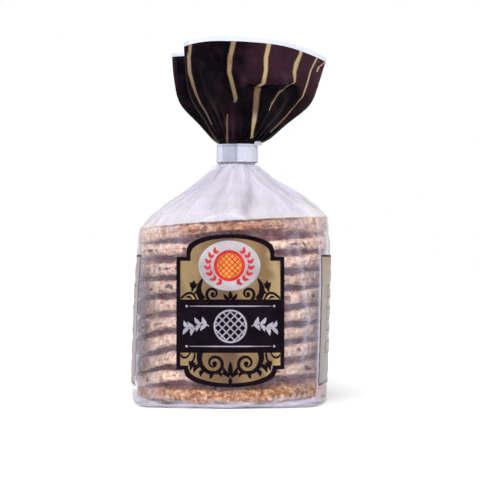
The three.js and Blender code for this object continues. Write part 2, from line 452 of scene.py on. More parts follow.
def underLabel(turn, height):
    # 1 where the front's and the back's print stiffens the film
    x, _, _, side = bodyPlan(turn)
    within = 1 - smoothStep(np.abs(x), *body["stiffUntil"])
    within = within * smoothStep(height, *body["stiffFrom"]) * (1 - smoothStep(height, *body["stiffTo"]))
    return np.where(side % 2 == 0, within, 0)


def dipBetween(turn, height):
    # how far the film dips in between two waffles' edges
    x, _, bulge, side = bodyPlan(turn)
    ridgeShare = np.where(side % 2 == 1, body["gussetRidgeShare"], 1)
    dip = 0
    for below, above in zip(stack, stack[1:]):
        middle = (heightOn(below, x) + heightOn(above, x)) / 2
        dip = dip + np.exp(-((height - middle) / body["ridgeWidth"]) ** 2)
    return body["ridgeDepth"] * ridgeShare * bulge ** 2 * dip * (1 - 0.9 * underLabel(turn, height))


def turnOn(side, place):
    # the turn at a place along one of the four sides, measured from the middle plane to the viewer's right
    start, end = np.array(body["folds"])[[side, (side + 1) % 4]]
    length = np.hypot(*(end - start))
    first = start @ (end - start) / length
    return (side + (place - first) / length - 0.5) / 4


def frontAround(x):
    return turnOn(0, x) * body["girth"]


# Creases in the film: places of (x, height), width, how far each stands out, and how white its painted
# highlight is
creaseSet = {
    "seed": 12,
    "count": 46,
    "length": (7, 30),
    "width": (0.7, 1.6),
    "lift": (-0.55, 0.5),
    "white": (0.02, 0.16),
}
namedCreases = [
    # the long crease to the right of the label, with a painted highlight
    ([(33.5, 96), (33.8, 82), (34.4, 72), (37, 53.7), (39.2, 43.9), (37.4, 34.6), (35.8, 19.9), (34.6, 12)],
     0.75, 0.5, 0.3),
    # the arc where the film leaves the top waffle
    ([(-17.3, 91.8), (-11.4, 94.2), (-4, 96), (1.5, 96), (6.5, 93.6), (11.1, 89.9)], 0.8, 0.3, 0.42),
    ([(-44, 4), (-44.3, 88)], 0.7, 0.0, 0.06),
    ([(44.3, 4), (44.3, 88)], 0.7, 0.0, 0.26),
    ([(-40, 16), (-36.5, 40), (-38.5, 62), (-36, 84)], 0.6, 0.35, 0.12),
    ([(29, 24), (30, 40), (28.6, 60)], 0.6, 0.3, 0.1),
    # wisps under the bottom waffle
    ([(-40, 5), (-26, 3.6), (-10, 2.9), (8, 3.6), (24, 2.8), (40, 4.4)], 0.4, 0.6, 0.3),
    ([(-30, 2), (-14, 1.4), (2, 2.2), (16, 1.2), (34, 2.2)], 0.35, 0.5, 0.34),
    ([(6, 6.5), (18, 4), (30, 4.6), (43, 8)], 0.4, 0.5, 0.24),
    ([(-44, 9), (-36, 5.5), (-24, 5)], 0.4, 0.5, 0.24),
    # pleats over the top waffle, whitened by painted highlights
    ([(18.2, 94.5), (21.2, 105)], 0.9, 0.5, 0.34),
    ([(25.6, 94), (29, 100), (33, 109)], 1.2, 0.7, 0.42),
    ([(-12, 97.5), (-2, 104), (8.6, 111)], 0.9, 0.4, 0.26),
    ([(-26, 94), (-24.6, 104)], 0.9, 0.5, 0.26),
    ([(-40, 94), (-33, 99), (-30, 106)], 1.1, 0.5, 0.24),
    ([(-16, 95), (-8, 101), (2, 108), (6, 114)], 1.6, 0.6, 0.26),
    ([(13, 97), (15, 104), (16.5, 112)], 1.3, 0.7, 0.3),
    ([(-34, 96), (-22, 104), (-12, 110)], 1.8, 0.5, 0.2),
    ([(38, 98), (30, 105), (22, 112)], 1.8, 0.6, 0.24),
]
# The folds down the middle of both gussets, as places of (turn, height)
gussetCreases = [
    ([(side, 3), (side + 0.003, 40), (side - 0.002, 70), (side, 100)], 0.9, -0.7, 0.22)
    for side in (0.25, 0.75)
]


def scatterCreases(settings, girth, lowest, highest):
    draws = np.random.default_rng(settings["seed"])
    made = []
    for _ in range(settings["count"]):
        path = [np.array([draws.uniform(0, girth), draws.uniform(lowest, highest)])]
        angle = draws.uniform(0.25, 0.75) * np.pi
        length = draws.uniform(*settings["length"])
        bend = draws.uniform(-0.35, 0.35)
        for _ in range(3):
            path.append(path[-1] + length / 3 * np.array([np.cos(angle), np.sin(angle)]))
            angle += bend
        made.append((path, *[draws.uniform(*settings[name]) for name in ("width", "lift", "white")]))
    return made


def alongCrease(around, height, path, width, girth):
    # 1 on the crease, falling off beside it and towards its ends
    path = np.array(path, float)
    lengths = np.hypot(*(path[1:] - path[:-1]).T)
    ends = np.concatenate([[0], np.cumsum(lengths)])
    nearest = np.full(np.shape(around), 1e9)
    place = np.zeros(np.shape(around))
    for start, end, length, passed in zip(path, path[1:], lengths, ends):
        away = (around - start[0] + girth / 2) % girth - girth / 2
        rise = height - start[1]
        step = (end - start) / length
        share = np.clip(away * step[0] + rise * step[1], 0, length)
        distance = np.hypot(away - share * step[0], rise - share * step[1])
        closer = distance < nearest
        nearest = np.where(closer, distance, nearest)
        place = np.where(closer, passed + share, place)
    fade = smoothStep(np.minimum(place, ends[-1] - place), 0, 0.25 * ends[-1])
    return np.exp(-nearest / width) * fade


bodyCreases = [([(frontAround(x), z) for x, z in path], *rest) for path, *rest in namedCreases]
bodyCreases += [([(turn * body["girth"], z) for turn, z in path], *rest) for path, *rest in gussetCreases]
bodyCreases += scatterCreases(creaseSet, body["girth"], 6, 104)
swellWaves = {"seed": 5, "count": 14, "reach": 0.42, "waves": (3, 22), "rise": (-0.12, 0.12)}


def filmLift(turn, height):
    # how far creases and soft swells move the film out, and how much whiter the creases' painted highlights
    # are
    around = (turn % 1) * body["girth"]
    lift, white = 0 * around, 0 * around
    for path, width, out, paleness in bodyCreases:
        near = alongCrease(around, height, path, width, body["girth"])
        lift = lift + out * near
        white = np.maximum(white, paleness * near)
    draws = np.random.default_rng(swellWaves["seed"])
    for _ in range(swellWaves["count"]):
        count, rise = draws.integers(*swellWaves["waves"]), draws.uniform(*swellWaves["rise"])
        swell = np.cos(fullTurn * count * turn + rise * height + draws.uniform(0, fullTurn))
        lift = lift + swellWaves["reach"] / swellWaves["count"] * swell
    settled = smoothStep(height, 1, 8) * (1 - 0.7 * underLabel(turn, height))
    return lift * settled, white


def pushedOut(points, lift):
    # points pushed away from the bag's upright axis
    plan = points[..., :2]
    reach = np.linalg.norm(plan, axis=-1, keepdims=True)
    return np.concatenate([plan * (1 + lift[..., None] / np.maximum(reach, 1e-6)), points[..., 2:]], axis=-1)


def filmPoint(turn, height):
    return pushedOut(bodyPoint(turn, height, dipBetween(turn, height)), filmLift(turn, height)[0])


def neckPlan(turn):
    pleat = 1 - neck["pleatShare"] * wave(neck["pleats"], turn)
    x = neck["x"] + neck["halfWidth"] * pleat * np.sin(fullTurn * turn)
    y = -neck["halfDepth"] * pleat * np.cos(fullTurn * turn)
    return x, y


# How the film spreads down from the neck, as (share of the way up, share of the spread), and its pleats
shoulder = {
    "spread": [(0, 1), (0.187, 0.881), (0.374, 0.69), (0.561, 0.452), (0.729, 0.24), (0.87, 0.1), (1, 0)],
    "pleats": 12,
    "pleatShare": 0.12,
    "seed": 9,
    "finePleats": (15, 46),
    "fineShare": 0.05,
}
# The film just under this arc, over the top waffle, is whiter: a painted highlight
paintedHighlightArc = {
    "path": [(-18, 91.6), (-11.4, 94.6), (-4, 96.6), (1.5, 96.4), (6.5, 93.9), (11.5, 90)],
    "white": 0.34,
}
streakSet = {
    "seed": 27,
    "count": 40,
    "width": (0.004, 0.015),
    "drift": 0.07,
    "lift": (-1.9, 1.9),
    "white": (-0.2, 0.36),
}


def pleatRandom(turn, seed, low, high, count=9):
    # uneven pleats round the film, from about -1 to 1
    draws = np.random.default_rng(seed)
    total = 0
    for _ in range(count):
        size, pleats, phase = draws.uniform(0.5, 1), draws.integers(low, high), draws.uniform(0, fullTurn)
        total = total + size * np.cos(fullTurn * pleats * turn + phase)
    return total / (0.42 * count)


def shoulderStart(turn):
    return heightOn(stack[-1], bodyPlan(turn)[0]) + waffleHalfThickness


def shoulderPoint(turn, share):
    # the film from the top waffle's edge to the neck, in pleats that deepen on the way
    outward = np.interp(share, *np.array(shoulder["spread"]).T)
    start = shoulderStart(turn)
    edge = bodyPoint(turn, start)
    neckX, neckY = neckPlan(turn)
    fine = pleatRandom(turn, shoulder["seed"], *shoulder["finePleats"])
    sway = np.sin(np.pi * share)
    pleat = 1 - shoulder["pleatShare"] * sway * wave(shoulder["pleats"], turn, 1.5 * sway)
    pleat = pleat + shoulder["fineShare"] * sway * smoothStep(share, 0.05, 0.8) * fine
    x = neckX * (1 - outward) + edge[..., 0] * outward * pleat
    y = neckY * (1 - outward) + edge[..., 1] * outward * pleat
    height = start + (neck["bottom"] - neck["clearance"] - start) * share
    lift, white = filmLift(turn, height)
    ridge, bright = shoulderStreaks(turn, share)
    planX, _, _, side = bodyPlan(turn)
    underArc = np.interp(planX, *np.array(paintedHighlightArc["path"]).T, left=0, right=0) > height
    bright = bright + paintedHighlightArc["white"] * (underArc & (side == 0))
    points = np.stack([x, y, height], axis=-1)
    # the creases' white, the streaks' white and the arc are painted highlights over the film's own haze
    return pushedOut(points, lift * (1 - share) + ridge), white * (1 - share) + bright


def shoulderStreaks(turn, share):
    # narrow pleats that run down from the neck, raised or sunk, some whiter with painted highlights and some
    # clearer
    draws = np.random.default_rng(streakSet["seed"])
    ridge, bright = 0 * turn, 0 * turn
    for _ in range(streakSet["count"]):
        middle, width = draws.uniform(0, 1), draws.uniform(*streakSet["width"])
        drift, reach = draws.uniform(-1, 1) * streakSet["drift"], draws.uniform(0.25, 1.15)
        away = (turn - middle - drift * (1 - share) + 0.5) % 1 - 0.5
        near = np.exp(-(away / width) ** 2) * smoothStep(share, 1 - reach, 1.25 - reach)
        near = near * smoothStep(1 - share, 0, 0.06)
        ridge = ridge + draws.uniform(*streakSet["lift"]) * near
        bright = bright + draws.uniform(*streakSet["white"]) * near
    return ridge, np.clip(bright, -0.2, 0.45)


# Where the film looks hazier or clearer: middle (x, height), half sizes, and the change
hazePatches = [
    (2, 92, 32, 7, -0.05), (0, 6.5, 36, 5.5, -0.05), (34, 48, 9, 36, 0.03), (-43, 42, 5, 36, 0.02),
    (30, 84, 12, 5, -0.02), (-38, 92, 10, 12, 0.08), (38, 92, 10, 10, 0.05),
]
hazeLevels = {
    "front": 0.1,
    "margin": 0.18,
    "marginAt": (43.6, 46.6),  # this far from the middle
    "leftMarginShare": 0.8,
    "gusset": 0.42,
    "foot": 0.51,
    "footAt": (0.6, 3.4),  # between these heights it fades out
    "base": 0.5,
    "shoulder": 0.32,
    "neck": 0.55,
    "streak": 0.03,
    "wisp": 0.44,
}


def patched(patches, x, z, power=2):
    # the changes of all the patches at a place, each fading out from its middle
    return sum(
        change * np.exp(-((x - middleX) / halfWidth) ** power - ((z - middleZ) / halfHeight) ** power)
        for middleX, middleZ, halfWidth, halfHeight, change in patches
    )


def hazeAt(turn, height):
    x, y, _, side = bodyPlan(turn)
    facing = np.where(side == 0, x, np.where(side == 2, -x, 0))
    # whiter towards the corner folds, where the film turns away: its own haze with a painted reflection
    edge = smoothStep(np.abs(facing), *hazeLevels["marginAt"])
    margin = hazeLevels["margin"] * np.where(facing < 0, hazeLevels["leftMarginShare"], 1)
    broad = hazeLevels["front"] + margin * edge + patched(hazePatches, facing, height, 4)
    haze = np.where(side % 2 == 0, broad, hazeLevels["gusset"])
    footward = 1 - smoothStep(height, *hazeLevels["footAt"])
    haze = haze * (1 - footward) + hazeLevels["foot"] * footward
    return haze + hazeLevels["wisp"] * footWisps(x, y, height)


def footWisps(x, y, height):
    # long thin patches along the foot, from clearer to whiter
    places = np.stack([0.24 * x, 0.24 * y, 1.5 * height], axis=-1)
    return (grain(places, 1.9, 71) + 0.5 * grain(2.3 * places, 1.9, 72)) * (1 - smoothStep(height, 3.5, 7.5))


filmGrid = {
    "columns": 400,
    "baseRings": 14,
    "footRings": 6,
    "bodyRows": 112,
    "shoulderRows": 44,
    "neckRows": 10,
}


def makeBagFilm():
    turn = np.arange(filmGrid["columns"]) / filmGrid["columns"]
    rows, hazes = [], []
    puckers = pleatRandom(turn, 21, 5, 30)
    for share in np.linspace(0.03, 1, filmGrid["baseRings"])[:-1]:
        row = footPoint(turn, 0)
        row[:, :2] *= share
        row[:, 2] = 0.25 + 0.35 * share * wave(9, turn, 4 * share) * wave(3, turn, 7 * share)
        rows.append(row)
        hazes.append(hazeLevels["base"] + 0 * turn)
    for share in np.linspace(0, 1, filmGrid["footRings"]):
        row = footPoint(turn, share)
        row[:, 2] += 0.1 + 0.35 * (1 - share) * wave(9, turn, 4)
        rows.append(pushedOut(row, 0.35 * share * puckers))
        hazes.append(hazeLevels["foot"] + hazeLevels["wisp"] * footWisps(*row.T))
    start = shoulderStart(turn)
    low = footPoint(turn, 1)[:, 2]
    for share in np.linspace(0, 1, filmGrid["bodyRows"])[1:]:
        height = low + (start - low) * share
        lift, white = filmLift(turn, height)
        settled = 0.35 * puckers * (1 - smoothStep(height, 2.6, 7))
        rows.append(pushedOut(bodyPoint(turn, height, dipBetween(turn, height)), lift + settled))
        # the creases' white is a painted highlight over the film's own haze
        hazes.append(hazeAt(turn, height) + white)
    streaks = hazeLevels["streak"] * pleatRandom(turn, 33, 12, 60, 14)
    for share in np.linspace(0, 1, filmGrid["shoulderRows"])[1:]:
        points, white = shoulderPoint(turn, share)
        rows.append(points)
        paleness = hazeLevels["shoulder"] + (hazeLevels["neck"] - hazeLevels["shoulder"]) * share
        leaving = smoothStep(share, 0, 0.06)
        hazes.append(hazeAt(turn, start) * (1 - leaving) + (paleness + streaks) * leaving + white)
    neckX, neckY = neckPlan(turn)
    for height in np.linspace(neck["bottom"], neck["top"] + neck["clearance"], filmGrid["neckRows"]):
        rows.append(np.stack([neckX, neckY, height + 0 * turn], axis=-1))
        hazes.append(hazeLevels["neck"] + 0 * turn)
    film = meshPiece(
        "bagFilm", np.concatenate(rows), gridFaces(len(rows), filmGrid["columns"]), [clearFilm],
        attributes={"haze": np.clip(np.concatenate(hazes), 0.05, 0.9)}, sharpFrom=38,
    )
    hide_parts("bag")
    print("film over the stack:", len(film.data.polygons), "faces")


makeBagFilm()


# The printed crown above the band

crown = {
    "left": [(0, 0), (0.015, 0.12), (0.07, 0.23), (0.22, 0.47), (0.45, 0.84), (0.72, 0.96), (1, 1)],
    "right": [(0, 0), (0.015, 0.15), (0.06, 0.27), (0.22, 0.49), (0.45, 0.79), (0.72, 0.915), (1, 1)],
    "pleats": 12,
    "pleatShare": 0.5,
    "pleatFade": 1.6,
    "rows": 92,
    "marginRows": 6,
    "printTop": 0.956,  # the clear margin starts at this share of the crown's height
    "frontTurns": (0.878, 1.123, 420),  # where the front stripes are looked for, and in how many steps
    "goldHalf": 0.34,  # of a front stripe's width, inside its outline
    "stripeWidth": 3,
    "edgeWidth": 0.45,
    "hidden": (1.175, 1.815, 10),  # the first and last hidden stripe's turn, and how many
    "columnPitch": 0.62,
    "gatherSheen": 0.7,
    "foldCreases": {
        "seed": 8,
        "count": 60,
        "length": (8, 28),
        "width": (0.7, 2),
        "lift": (-1, 0.9),
        "white": (0, 0),
    },
}
# The rim, a sixteenth of the film apart from the front middle round to the right
crownRim = [
    (10, -30, 185.2), (31, -24.5, 183), (49.6, -6, 178.4), (38, 0, 180), (29.5, 3, 181.5), (35, 8, 181),
    (44, 15, 179.5), (30, 26, 182.5), (8, 30, 184.5), (-14, 26.5, 184.4), (-32, 12, 183.8), (-18, 6, 183.8),
    (-8, 0.5, 184), (-14, -5.5, 184.2), (-24.6, -17, 184.8), (-11, -27, 186),
]
# The stripes on the front, as they show from the eye in the plane through the bag's axis: each is
# places of (x, height, width) downwards, and the heights between which its gold shows
frontStripes = [
    ([(-21.6, 188, 2.6), (-22.7, 179.8, 2.6), (-22.3, 171.9, 2.4), (-20.3, 164.9, 2.1), (-18.6, 159.6, 1.7),
      (-16.4, 155.2, 1.3), (-13.7, 151.3, 1.1), (-12, 148.2, 0.9), (-10, 144.2, 0.6), (-7.4, 134, 0.5)],
     [(144, 190)]),
    ([(1.5, 189, 3.4), (-0.6, 179.8, 3.1), (-1, 171.9, 2.8), (0.8, 164.9, 2.6), (2.5, 157.9, 2.5),
      (2.1, 156, 1.6), (0.2, 152.6, 0.6), (-1.9, 150, 0.6), (-2.1, 136, 1.5), (-2.1, 133, 1.5)],
     [(155.6, 190), (133, 149.6)]),
    ([(20.2, 188, 2.8), (18.3, 179.3, 2.7), (18.3, 172.8, 2.5), (17, 165.8, 2.8), (14.3, 164.2, 3.7),
      (13.5, 160.5, 3.4), (13, 153.4, 3.2), (12.2, 146.4, 3.1), (11, 138.1, 1.6), (10, 134, 1.2)],
     [(137, 190)]),
    ([(37.2, 184, 2.1), (36.7, 181.5, 2.1), (34.5, 176.3, 2.9), (33.5, 171.9, 2.3), (33.8, 166.6, 1.1),
      (31, 164, 1.4), (26.6, 161.3, 1.6), (24, 157.9, 1.2), (20.6, 152.1, 0.6), (13.1, 134, 0.5)],
     [(152, 190)]),
    ([(46, 184, 1.2), (45.5, 179.8, 1.2), (42, 172.8, 0.9), (39.8, 164.9, 0.9), (37.6, 158.7, 0.9),
      (34.5, 154.3, 1), (31.9, 151.3, 1.1), (29.3, 148.2, 1.1), (25.8, 144.7, 1), (21.8, 140.8, 0.8),
      (15.8, 134, 0.6)],
     [(140, 190)]),
    ([(50.4, 182, 1), (49.4, 177.1, 1), (46.4, 174.5, 0.9), (45.1, 171.9, 0.7), (42.6, 164.9, 0.5),
      (17.3, 134, 0.4)],
     [(172, 190)]),
]
# The film is tucked in under this line across the crown's front, in the same plane
tuck = {
    "path": [(2, 169.6), (5, 167.6), (14.2, 164.6), (23.1, 165.4), (33.6, 165.9), (36.4, 163.6), (38, 159)],
    "depth": 2.4,
    "fade": 8,
    # how much painted shade darkens the print just under the tuck
    "dark": 0.7,
}
# Painted highlights and shade on the stripes, in the same plane: (x, height), half sizes, and the change
glints = [
    (12, 143, 4, 7, 1.5), (18.4, 172, 3, 5, 0.35), (33, 149, 5, 5, 0.5), (43, 172, 4, 8, 0.4),
    (21.5, 153, 2.5, 3.5, 0.9), (-16, 153, 6, 8, -0.3), (13.2, 156, 3, 5, -0.2), (-21, 180, 3, 6, 0.35),
    (1.6, 160, 3, 4, 0.12), (-2, 141, 3, 8, -0.3),
]
# Painted highlights on the dark print, in the same way
sheens = [
    (0.8, 146, 2.6, 9, 0.5), (6.4, 166.5, 2, 3.6, 0.5), (11, 177, 3, 5, 0.25), (27, 170, 7, 1.6, 0.25),
    (37, 152, 6, 4, 0.3), (-25.5, 166, 1.6, 9, 0.3), (46, 170, 3, 8, 0.3), (26, 145, 6, 2.2, 0.3),
]
# Creases on the crown's front, in the same plane: places of (x, height), width and lift
frontFolds = [
    ([(-9, 176), (-1, 171.5), (4, 170), (17, 165.4), (25, 166), (34, 166), (40, 161)], 1.3, -0.5),
    ([(19.5, 172), (26, 171.5), (33, 169)], 1.6, 0.8),
    ([(6.5, 172), (8.6, 164), (8, 156)], 2.2, 0.9),
    ([(8, 176), (11, 184)], 2.6, 0.7),
    ([(-19, 178), (-14, 160), (-6, 146)], 1.5, -0.8),
    ([(-9, 165), (-3, 150), (0, 138)], 1.1, 0.8),
    ([(36, 164), (28, 151), (17, 139)], 1.2, -0.9),
    ([(31, 160), (22, 147), (13, 137)], 1.0, 0.7),
    ([(3.5, 156), (4.5, 146), (4, 136)], 1.2, 0.9),
    ([(7, 152), (7, 143), (6, 135)], 0.9, -0.8),
]


def crownSurface(turn, step):
    start = neck["top"] + neck["clearance"]
    rim = curveThrough(crownRim, turn % 1, closed=True)
    neckX, neckY = neckPlan(turn)
    rightness = smoothStep(np.sin(fullTurn * turn), -np.sqrt(0.5), np.sqrt(0.5))[..., None]
    leftCurve, rightCurve = curveThrough(crown["left"], step), curveThrough(crown["right"], step)
    reached = leftCurve * (1 - rightness) + rightCurve * rightness
    share, outward = reached[..., 0], reached[..., 1]
    depth = crown["pleatShare"] * np.clip(share, 0, 1) * np.clip(1 - share, 0, 1) ** crown["pleatFade"]
    pleat = 1 - depth * wave(crown["pleats"], turn)
    x = neckX + (rim[..., 0] - neckX) * outward * pleat
    y = neckY + (rim[..., 1] - neckY) * outward * pleat
    return np.stack([x, y, start + (rim[..., 2] - start) * share], axis=-1)


def seenFromEye(points):
    # where points show in the plane through the bag's axis
    nearness = eye["distance"] / (eye["distance"] + points[..., 1])
    x = eye["x"] + (points[..., 0] - eye["x"]) * nearness
    z = eye["height"] + (points[..., 2] - eye["height"]) * nearness
    return x, z


def stripeEdges(step):
    # turns of the outline and gold edges of every stripe in one row, from the front left fold round
    turns, gold = np.linspace(*crown["frontTurns"]), crown["goldHalf"]
    x, z = seenFromEye(crownSurface(turns, step + 0 * turns))
    edges = []
    for path, _ in frontStripes:
        places = np.array(path)[::-1]
        middle, width = [np.interp(z, places[:, 1], places[:, column]) for column in (0, 2)]
        edges += [np.interp(0, x - middle - side * width, turns) for side in (-0.5, -gold, gold, 0.5)]
    half, line = crown["stripeWidth"] / body["girth"] / 2, crown["edgeWidth"] / body["girth"]
    for middle in np.linspace(*crown["hidden"]):
        edges += [middle + away for away in (-half - line, -half, half, half + line)]
    return np.maximum.accumulate(np.array(edges) + np.arange(len(edges)) * 1e-5)


def makeCrownFilm():
    shares = np.concatenate([
        np.linspace(0, crown["printTop"], crown["rows"] - crown["marginRows"]),
        np.linspace(crown["printTop"], 1, crown["marginRows"] + 1)[1:],
    ])
    dense = np.linspace(0, 1, 2000)
    steps = np.interp(shares, curveThrough(crown["left"], dense)[:, 0], dense)
    allEdges = np.array([stripeEdges(step) for step in steps])
    gaps = np.diff(np.concatenate([allEdges, allEdges[:, :1] + 1], axis=1), axis=1)
    wanted = np.median(gaps[-30:], axis=0) * body["girth"] / crown["columnPitch"]
    counts = np.maximum(1, np.round(wanted)).astype(int)
    turns = np.array([
        np.concatenate([
            edge + width * np.arange(count) / count for edge, width, count in zip(edges, gap, counts)
        ])
        for edges, gap in zip(allEdges, gaps)
    ])
    columns = turns.shape[1]
    points = crownSurface(turns, np.repeat(steps[:, None], columns, axis=1))
    points, lit, shine = creasedCrown(points, turns, shares)
    haze = np.repeat(np.where(shares > crown["printTop"] - 0.001, 0.62, 1)[:, None], columns, axis=1)
    film = meshPiece(
        "crownFilm", points.reshape(-1, 3), gridFaces(len(steps), columns),
        [darkPrint, crownGold, goldEdge, marginFilm], crownKinds(points, counts, shares).ravel(),
        attributes={"haze": haze.ravel(), "lit": lit.ravel(), "shine": shine.ravel()}, sharpFrom=50,
    )
    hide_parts("bag")
    print("crown:", len(film.data.polygons), "faces")


def crownKinds(points, counts, shares):
    # for each face 0 is dark print, 1 gold, 2 a stripe's outline and 3 the clear margin
    _, z = seenFromEye(points)
    height = (z[1:] + z[:-1]) / 2
    places = np.repeat(np.arange(len(counts)), counts)
    kinds = np.repeat(np.array([2, 1, 2, 0])[places % 4][None, :], len(height), axis=0)
    for place, (_, shows) in enumerate(frontStripes):
        shown = sum((height > low) & (height < high) for low, high in shows)
        kinds[(places // 4 == place) & (shown == 0)] = 0
    return np.where((shares[1:] > crown["printTop"] + 0.001)[:, None], 3, kinds)


def surfaceNormals(points):
    acrossRow = np.roll(points, -1, axis=1) - np.roll(points, 1, axis=1)
    upward = np.gradient(points, axis=0)
    normals = np.cross(acrossRow, upward)
    return normals / np.maximum(np.linalg.norm(normals, axis=-1, keepdims=True), 1e-9)


def underTuck(x, z):
    # 1 just under the tuck's line, fading downwards and towards its ends
    line = np.array(tuck["path"]).T
    below = np.interp(x, *line) - z
    ends = smoothStep(x, line[0][0], line[0][0] + 12) * (1 - smoothStep(x, line[0][-1] - 5, line[0][-1]))
    return np.exp(-np.maximum(below, 0) / tuck["fade"]) * smoothStep(below, 0, 1.5) * ends


def creasedCrown(points, turns, shares):
    normals = surfaceNormals(points)
    height = np.repeat(shares[:, None], points.shape[1], axis=1) * (bagHigh[2] - neck["top"])
    around = (turns % 1) * body["girth"]
    lift = 0 * around
    for path, width, out, _ in scatterCreases(crown["foldCreases"], body["girth"], 4, 50):
        lift = lift + out * alongCrease(around, height, path, width, body["girth"])
    x, z = seenFromEye(points)
    onFront = ((turns > 0.88) & (turns < 1.12)) | (turns > 1.88)
    for path, width, out in frontFolds:
        lift = lift + np.where(onFront, out * alongCrease(x, z, path, width, 1e6), 0)
    tucked = np.where(onFront, underTuck(x, z), 0)
    lift = lift - tuck["depth"] * tucked
    gathered = (1 - smoothStep(height, 0, 26)) * smoothStep(height, 0, 3)
    lift = lift + 0.5 * gathered * pleatRandom(turns, 44, 24, 60, 12)
    lift = lift + 0.35 * smoothStep(height, 6, 22) * pleatRandom(turns, 45, 4, 14, 6)
    room = smoothStep(height, 0, 4)
    rightward = smoothStep(x, -24, 40)
    # painted light and shade on the print: lighter to the right, on raised creases, on gathered pleats, at
    # the left edge and in the sheens, darker in sunk creases and under the tuck; the gold's "shine" is darker
    # towards the neck and takes the glints
    lit = smoothStep(height, 16, 42) * (0.88 * rightward - 0.13) - tuck["dark"] * tucked + 0.14 * lift
    lit = lit + crown["gatherSheen"] * gathered * np.clip(pleatRandom(turns, 46, 30, 80, 12) - 0.3, 0, 1)
    lit = lit + 0.5 * smoothStep(height, 12, 24) * smoothStep(-x, 26, 31)
    shine = lit - 0.25 * (1 - smoothStep(height, 14, 36))
    lit = np.maximum(lit, 0) + np.where(onFront, patched(sheens, x, z), 0)
    shine = shine + np.where(onFront, patched(glints, x, z), 0)
    return points + normals * (lift * room)[..., None], lit, shine


makeCrownFilm()


# The ten waffles

waffleForm = {
    "radius": 49,
    "taper": 4.8,  # the faces part from the neighbours this far in from the rim
    "sideTaper": 0.3,  # the share of that at the left and the right, where the film presses the rims square
    "rim": 2.55,
    "openedGap": 0.5,
    "overLabel": 24,  # half the width of the opened gap
    "topRim": (1.15, 1.1),  # how much thicker the top waffle's rims are, over and under its middle
    "bottomRim": (1.15, 1.65, 0.57),  # the same for the bottom one, and what its left loses underneath
    "sideFullness": 0.42,  # the rims are this much thicker at the left and the right
    "round": 2.6,
    "columns": 400,
    "faceRings": 40,
    "hiddenRings": 9,
    "filmGap": 0.5,
    "faceGap": 0.08,
    "gridPitch": 5.4,
    "gridDepth": 0.7,
    "baseHeight": 1.9,
}
# How each waffle lies, from the bottom up: its shift to the right and towards the back
waffleShifts = [
    (0.4, 0), (-0.5, 0.3), (0.2, -0.2), (-0.7, 0.2), (0.1, -0.3),
    (0.6, 0.1), (-0.4, 0.2), (0.8, -0.2), (0.9, 0.1), (0.2, 0),
]


def keptInFilm(points):
    # presses an edge flat where it would come through the film
    widthShare, depthShare = sharesAt(points[:, 0], points[:, 2])
    x, y = points[:, 0] / widthShare, points[:, 1] / depthShare
    (left, front), (right, _), (_, back), _ = body["folds"]
    gap = waffleForm["filmGap"]

    def reachOf(fold, sideBulge, share, ridgeShare):
        bulge = np.clip(4 * share * (1 - share), 0, 1)
        return abs(fold) + sideBulge * bulge - ridgeShare * body["ridgeDepth"] * bulge ** 2 * 0.5 - gap

    xShare, yShare = (x - left) / (right - left), (y - front) / (back - front)
    ahead, rightward, behind, leftward = body["bulges"]
    x = np.clip(x, -reachOf(left, leftward, yShare, 0.4), reachOf(right, rightward, yShare, 0.4))
    y = np.clip(y, -reachOf(front, ahead, xShare, 1), reachOf(back, behind, xShare, 1))
    return np.stack([x * widthShare, y * depthShare, points[:, 2]], axis=-1)


def waffleProfile(faceRings):
    # (distance in from the rim, share of the core's half thickness, share of the rim's, how baked; painted
    # shade in the gaps)
    form = waffleForm
    reaches = np.linspace(1.2, form["radius"] - form["taper"], faceRings)
    rings = [(form["radius"] - reach, 1, 0, 0.8) for reach in reaches]
    # the faces that part from the neighbours are baked darkest: painted shade in the gap between waffles
    for share in np.linspace(0, 1, 9)[1:]:
        drop = smoothStep(share, 0, 1) ** 0.8
        inset = form["taper"] + (form["round"] - form["taper"]) * share
        rings.append((inset, 1 - drop, drop, 1.1 - 0.8 * share ** 3))
    for share in np.linspace(0, 1, 13)[1:-1]:
        angle = share * np.pi / 2
        rings.append((form["round"] * (1 - np.sin(angle)), 0, np.cos(angle) ** 0.75, 0.3 - 0.22 * share))
    return rings


def coreHalves(place, x):
    # how far a waffle's faces are from its middle where it lies against its neighbours
    here = heightOn(stack[place], x)
    above = stack[place + 1] if place + 1 < len(stack) else None
    below = stack[place - 1] if place else None
    upper = (heightOn(above, x) - here) / 2 if above else waffleHalfThickness + 0.1 + 0 * x
    lower = (here - heightOn(below, x)) / 2 if below else here - waffleForm["baseHeight"]
    return upper - waffleForm["faceGap"], lower - waffleForm["faceGap"]


def rimShare(number, side, x, y):
    # how much thicker or thinner than the others a rim is over or under its middle
    share, form = 1, waffleForm
    if number == 1:
        above, below, lost = form["bottomRim"]
        share = above if side > 0 else below - lost * smoothStep(-x, 5, 45)
    if number == len(stack):
        share = form["topRim"][0 if side > 0 else 1]
    # the dark gap under the top waffle is wider over the label
    if (number, side) in ((len(stack), -1), (len(stack) - 1, 1)):
        share = share * (1 - form["openedGap"] * np.exp(-((x - 3) / form["overLabel"]) ** 4) * (y < 0))
    return share


